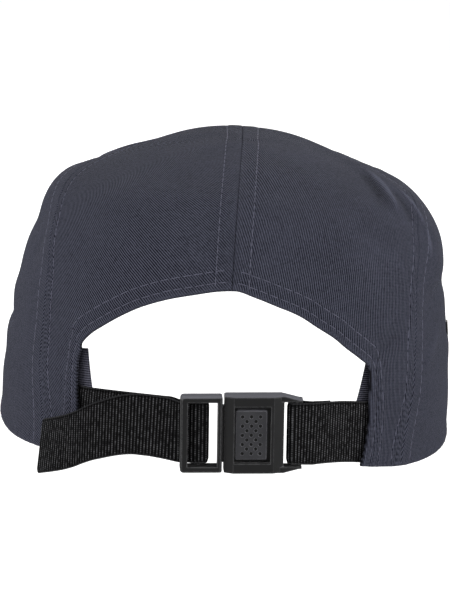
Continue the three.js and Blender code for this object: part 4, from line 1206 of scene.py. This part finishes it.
def right_strap_stops():
    """From behind the panel to the buckle, round its bar and back in front."""
    edge = OPENING_RIGHT
    radius = HOUSING_BAR / 2 + CLEARANCE + STRAP_WALL / 2
    turn = stops_at_buckle(turn_round(housing_left + HOUSING_BAR_X, HOUSING_BAR_BACK, radius, -1))
    leave = buckle_right + STRAP_LEAD
    front_layer = HOUSING_BAR_BACK - radius

    def lift(x):
        return (load_layer_back - front_layer) * (1 - smoothstep(x, leave - STRAP_SETTLE, edge - STRAP_LEAD))

    def apart(x):
        return lerp(LAYER_GAP, 2 * radius, 1 - smoothstep(x, leave - STRAP_SETTLE, leave + STRAP_SETTLE))

    x = np.linspace(leave, edge + STRAP_SEWN, 13)
    front = stops_on_crown(x, strap_height(x, edge), strap_inset + lift(x))
    x = np.linspace(RETURN_LAYER_END, leave, 7)
    behind = stops_on_crown(x, strap_height(x, edge), strap_inset + lift(x) - apart(x))
    return np.concatenate([behind[0], turn[0], front[0]]), np.concatenate([behind[1], turn[1], front[1]])


def strap_piece(name, node, stops, hem=0.0):
    """Webbing along its stops, with ribs across it. hem is the length of the turned end."""
    middle, across = stops
    samples = SPLINE_STEPS * (len(middle) - 1)
    curve, wide = spline(middle, samples), spline(across, samples)
    run = run_along(curve)
    total = run[-1]
    count = int(total / RIB_PITCH) * RIB_STEPS
    at = np.linspace(0, total, count + 1)
    middle, across = read_line(at, run, curve), unit(read_line(at, run, wide))
    forward_run = unit(np.gradient(middle, axis=0))
    for _ in range(3):
        forward_run[1:-1] = unit(forward_run[:-2] + 2 * forward_run[1:-1] + forward_run[2:])
    face = unit(np.cross(forward_run, across))
    share = np.linspace(-1, 1, STRAP_COLUMNS + 1)
    edge = STRAP_WIDTH / 2 * (1 - np.abs(share))
    thin = np.clip(1 - edge / (STRAP_WALL / 2), 0, 1)
    profile = np.sqrt(1 - thin**2) * 0.75 + 0.25
    rib = np.abs(np.sin(pi * at / RIB_PITCH)) ** 0.7
    half = STRAP_WALL / 2 - RIB_HEIGHT * (1 - rib)
    ends = np.clip(np.minimum(at, total - at) / (STRAP_WALL / 2), 0, 1)
    full = np.sqrt(1 - (1 - ends) ** 2)
    half = half * (0.4 + 0.6 * full)
    reach = np.tile(share * STRAP_WIDTH / 2, (count + 1, 1))
    raised = np.zeros(reach.shape)
    if hem:
        tuck = edge_round(total - at, END_CORNER)
        reach += tuck[:, None] * np.where(share < 0, -share, -0.3 * share)
        raised = 0.9 * STRAP_WALL * smoothstep(at, total - hem - 0.5, total - hem + 0.3)[:, None] * profile
        raised = raised * full[:, None]
    base = middle[:, None] + across[:, None] * reach[..., None]
    thick = half[:, None] * profile[None, :]
    outer = base + face[:, None] * (thick + raised)[..., None]
    inner = base - face[:, None] * thick[..., None]
    uv = np.stack([(at / RIB_PITCH - 0.25)[:, None] * np.ones(STRAP_COLUMNS + 1),
                   (share * STRAP_WIDTH / 2)[None, :] * np.ones((count + 1, 1))], -1)
    piece = sheet_object(name, outer, inner, uv, WEBBING)
    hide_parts(node)
    return piece


strap_left = strap_piece("webbing_left", "strap_left", left_strap_stops(), FREE_END_HEM)
strap_right = strap_piece("webbing_right", "strap_right", right_strap_stops())


# Flat sizes of the cloth in metres, as cut: width, length and area, and what each piece hangs on
FLAT_SHEETS = {
    "back_panel_left": (0.130, 0.155, 0.0107, ["cloth_side_left", "cloth_back_right"]),
    "back_panel_right": (0.130, 0.155, 0.0109, ["cloth_side_right", "cloth_back_left"]),
    "side_panel_left": (0.136, 0.124, 0.0107, ["cloth_front", "cloth_back_left"]),
    "side_panel_right": (0.136, 0.124, 0.0108, ["cloth_front", "cloth_back_right"]),
    "front_panel": (0.166, 0.106, 0.0149, ["cloth_side_left", "cloth_side_right"]),
    "sweatband": (0.485, 0.038, 0.0180, ["cloth_front", "cloth_side_left", "cloth_side_right"]),
}
for node, (width, length, area, rests_on) in FLAT_SHEETS.items():
    piece, stitches = pieces[node]


def dress(node, look):
    """Gives a CAD node its material."""
    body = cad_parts[node]
    body.data.materials.clear()
    body.data.materials.append(look)


def dress_pad():
    """Gives the release pad's top its grain and the dimples' sides their shade."""
    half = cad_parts["buckle_male_half"]
    half.data.materials.append(PAD_PLASTIC)
    half.data.materials.append(DIMPLE_PLASTIC)
    to_buckle = buckle_matrix.inverted() @ Matrix.Scale(1 / MM, 4) @ half.matrix_world
    pad_x = housing_left + WINDOW_X - PAD_SHIFT
    pad_front = -BUCKLE_DEPTH / 2 + PAD_RECESS
    for face in half.data.polygons:
        x, y, z = to_buckle @ face.center
        aside = abs(x - pad_x) - PAD_WIDTH / 2
        above = abs(z) - PAD_HEIGHT / 2
        if aside < 0.1 and above < 0.1 and y < pad_front + PAD_SHADE:
            inside = aside < -PAD_MARGIN and above < -PAD_MARGIN
            face.material_index = 2 if inside and y > pad_front + 0.02 else 1


for node in ("buckle_male_half", "buckle_housing"):
    dress(node, PLASTIC)
dress_pad()
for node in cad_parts:
    if node.startswith("eyelet"):
        dress(node, ENAMEL)


# Studio
def stage_piece(name, points, faces, look_name, strength):
    """A pale glowing surface, in metres, that throws no light on the cap."""
    mesh = bpy.data.meshes.new(name)
    mesh.from_pydata(points, [], faces)
    mesh.materials.append(Nodes(look_name).finish({
        "Base Color": (0.93, 0.93, 0.93, 1), "Roughness": 0.9, "Specular IOR Level": 0.1,
        "Emission Color": (1, 1, 1, 1), "Emission Strength": strength}))
    piece = bpy.data.objects.new(name, mesh)
    bpy.context.scene.collection.objects.link(piece)
    piece.visible_diffuse = False
    piece.visible_glossy = False


def cove(radius):
    """Points and faces of a plain cove all round the cap."""
    turns = np.radians(np.arange(0, 360, 10))
    tilts = np.radians(np.linspace(-80, 90, 18))
    points = [(radius * cos(t) * sin(a), radius * cos(t) * cos(a), radius * sin(t))
              for t in tilts for a in turns]
    return points, tube_faces(np.arange(len(points)).reshape(len(tilts), len(turns)))


floor_corners = [(x * FLOOR_REACH, y * FLOOR_REACH, -FLOOR_DEPTH)
                 for x, y in ((-1, -1), (1, -1), (1, 1), (-1, 1))]
stage_piece("floor", floor_corners, [(0, 1, 2, 3)], "pale_floor", 0.6)
stage_piece("backdrop", *cove(COVE_RADIUS), "white_paper", 1.2)

world = bpy.data.worlds.new("studio")
world.use_nodes = True
background = world.node_tree.nodes["Background"]
background.inputs[0].default_value = (1.0, 1.0, 1.0, 1)
background.inputs[1].default_value = 0.42
bpy.context.scene.world = world

# Softboxes: place and size in metres, power in watts
SOFTBOXES = {
    "top_softbox": ((0.0, -0.35, 1.4), 1.0, 3.0),
    "rear_softbox": ((0.0, 2.2, 0.7), 1.6, 12.0),
    "left_softbox": ((-1.6, -0.5, 0.4), 0.8, 13.0),
    "right_softbox": ((1.6, -0.5, 0.4), 0.8, 13.0),
}
for name, (place, size, power) in SOFTBOXES.items():
    data = bpy.data.lights.new(name, "AREA")
    data.shape = "SQUARE"
    data.size = size
    data.energy = power
    light = bpy.data.objects.new(name, data)
    light.location = place
    light.rotation_mode = "QUATERNION"
    light.rotation_quaternion = (Vector(LIT_POINT) - Vector(place)).to_track_quat("-Z", "Y")
    bpy.context.scene.collection.objects.link(light)

view = bpy.context.scene.view_settings
view.view_transform = "Standard"
view.look = "None"
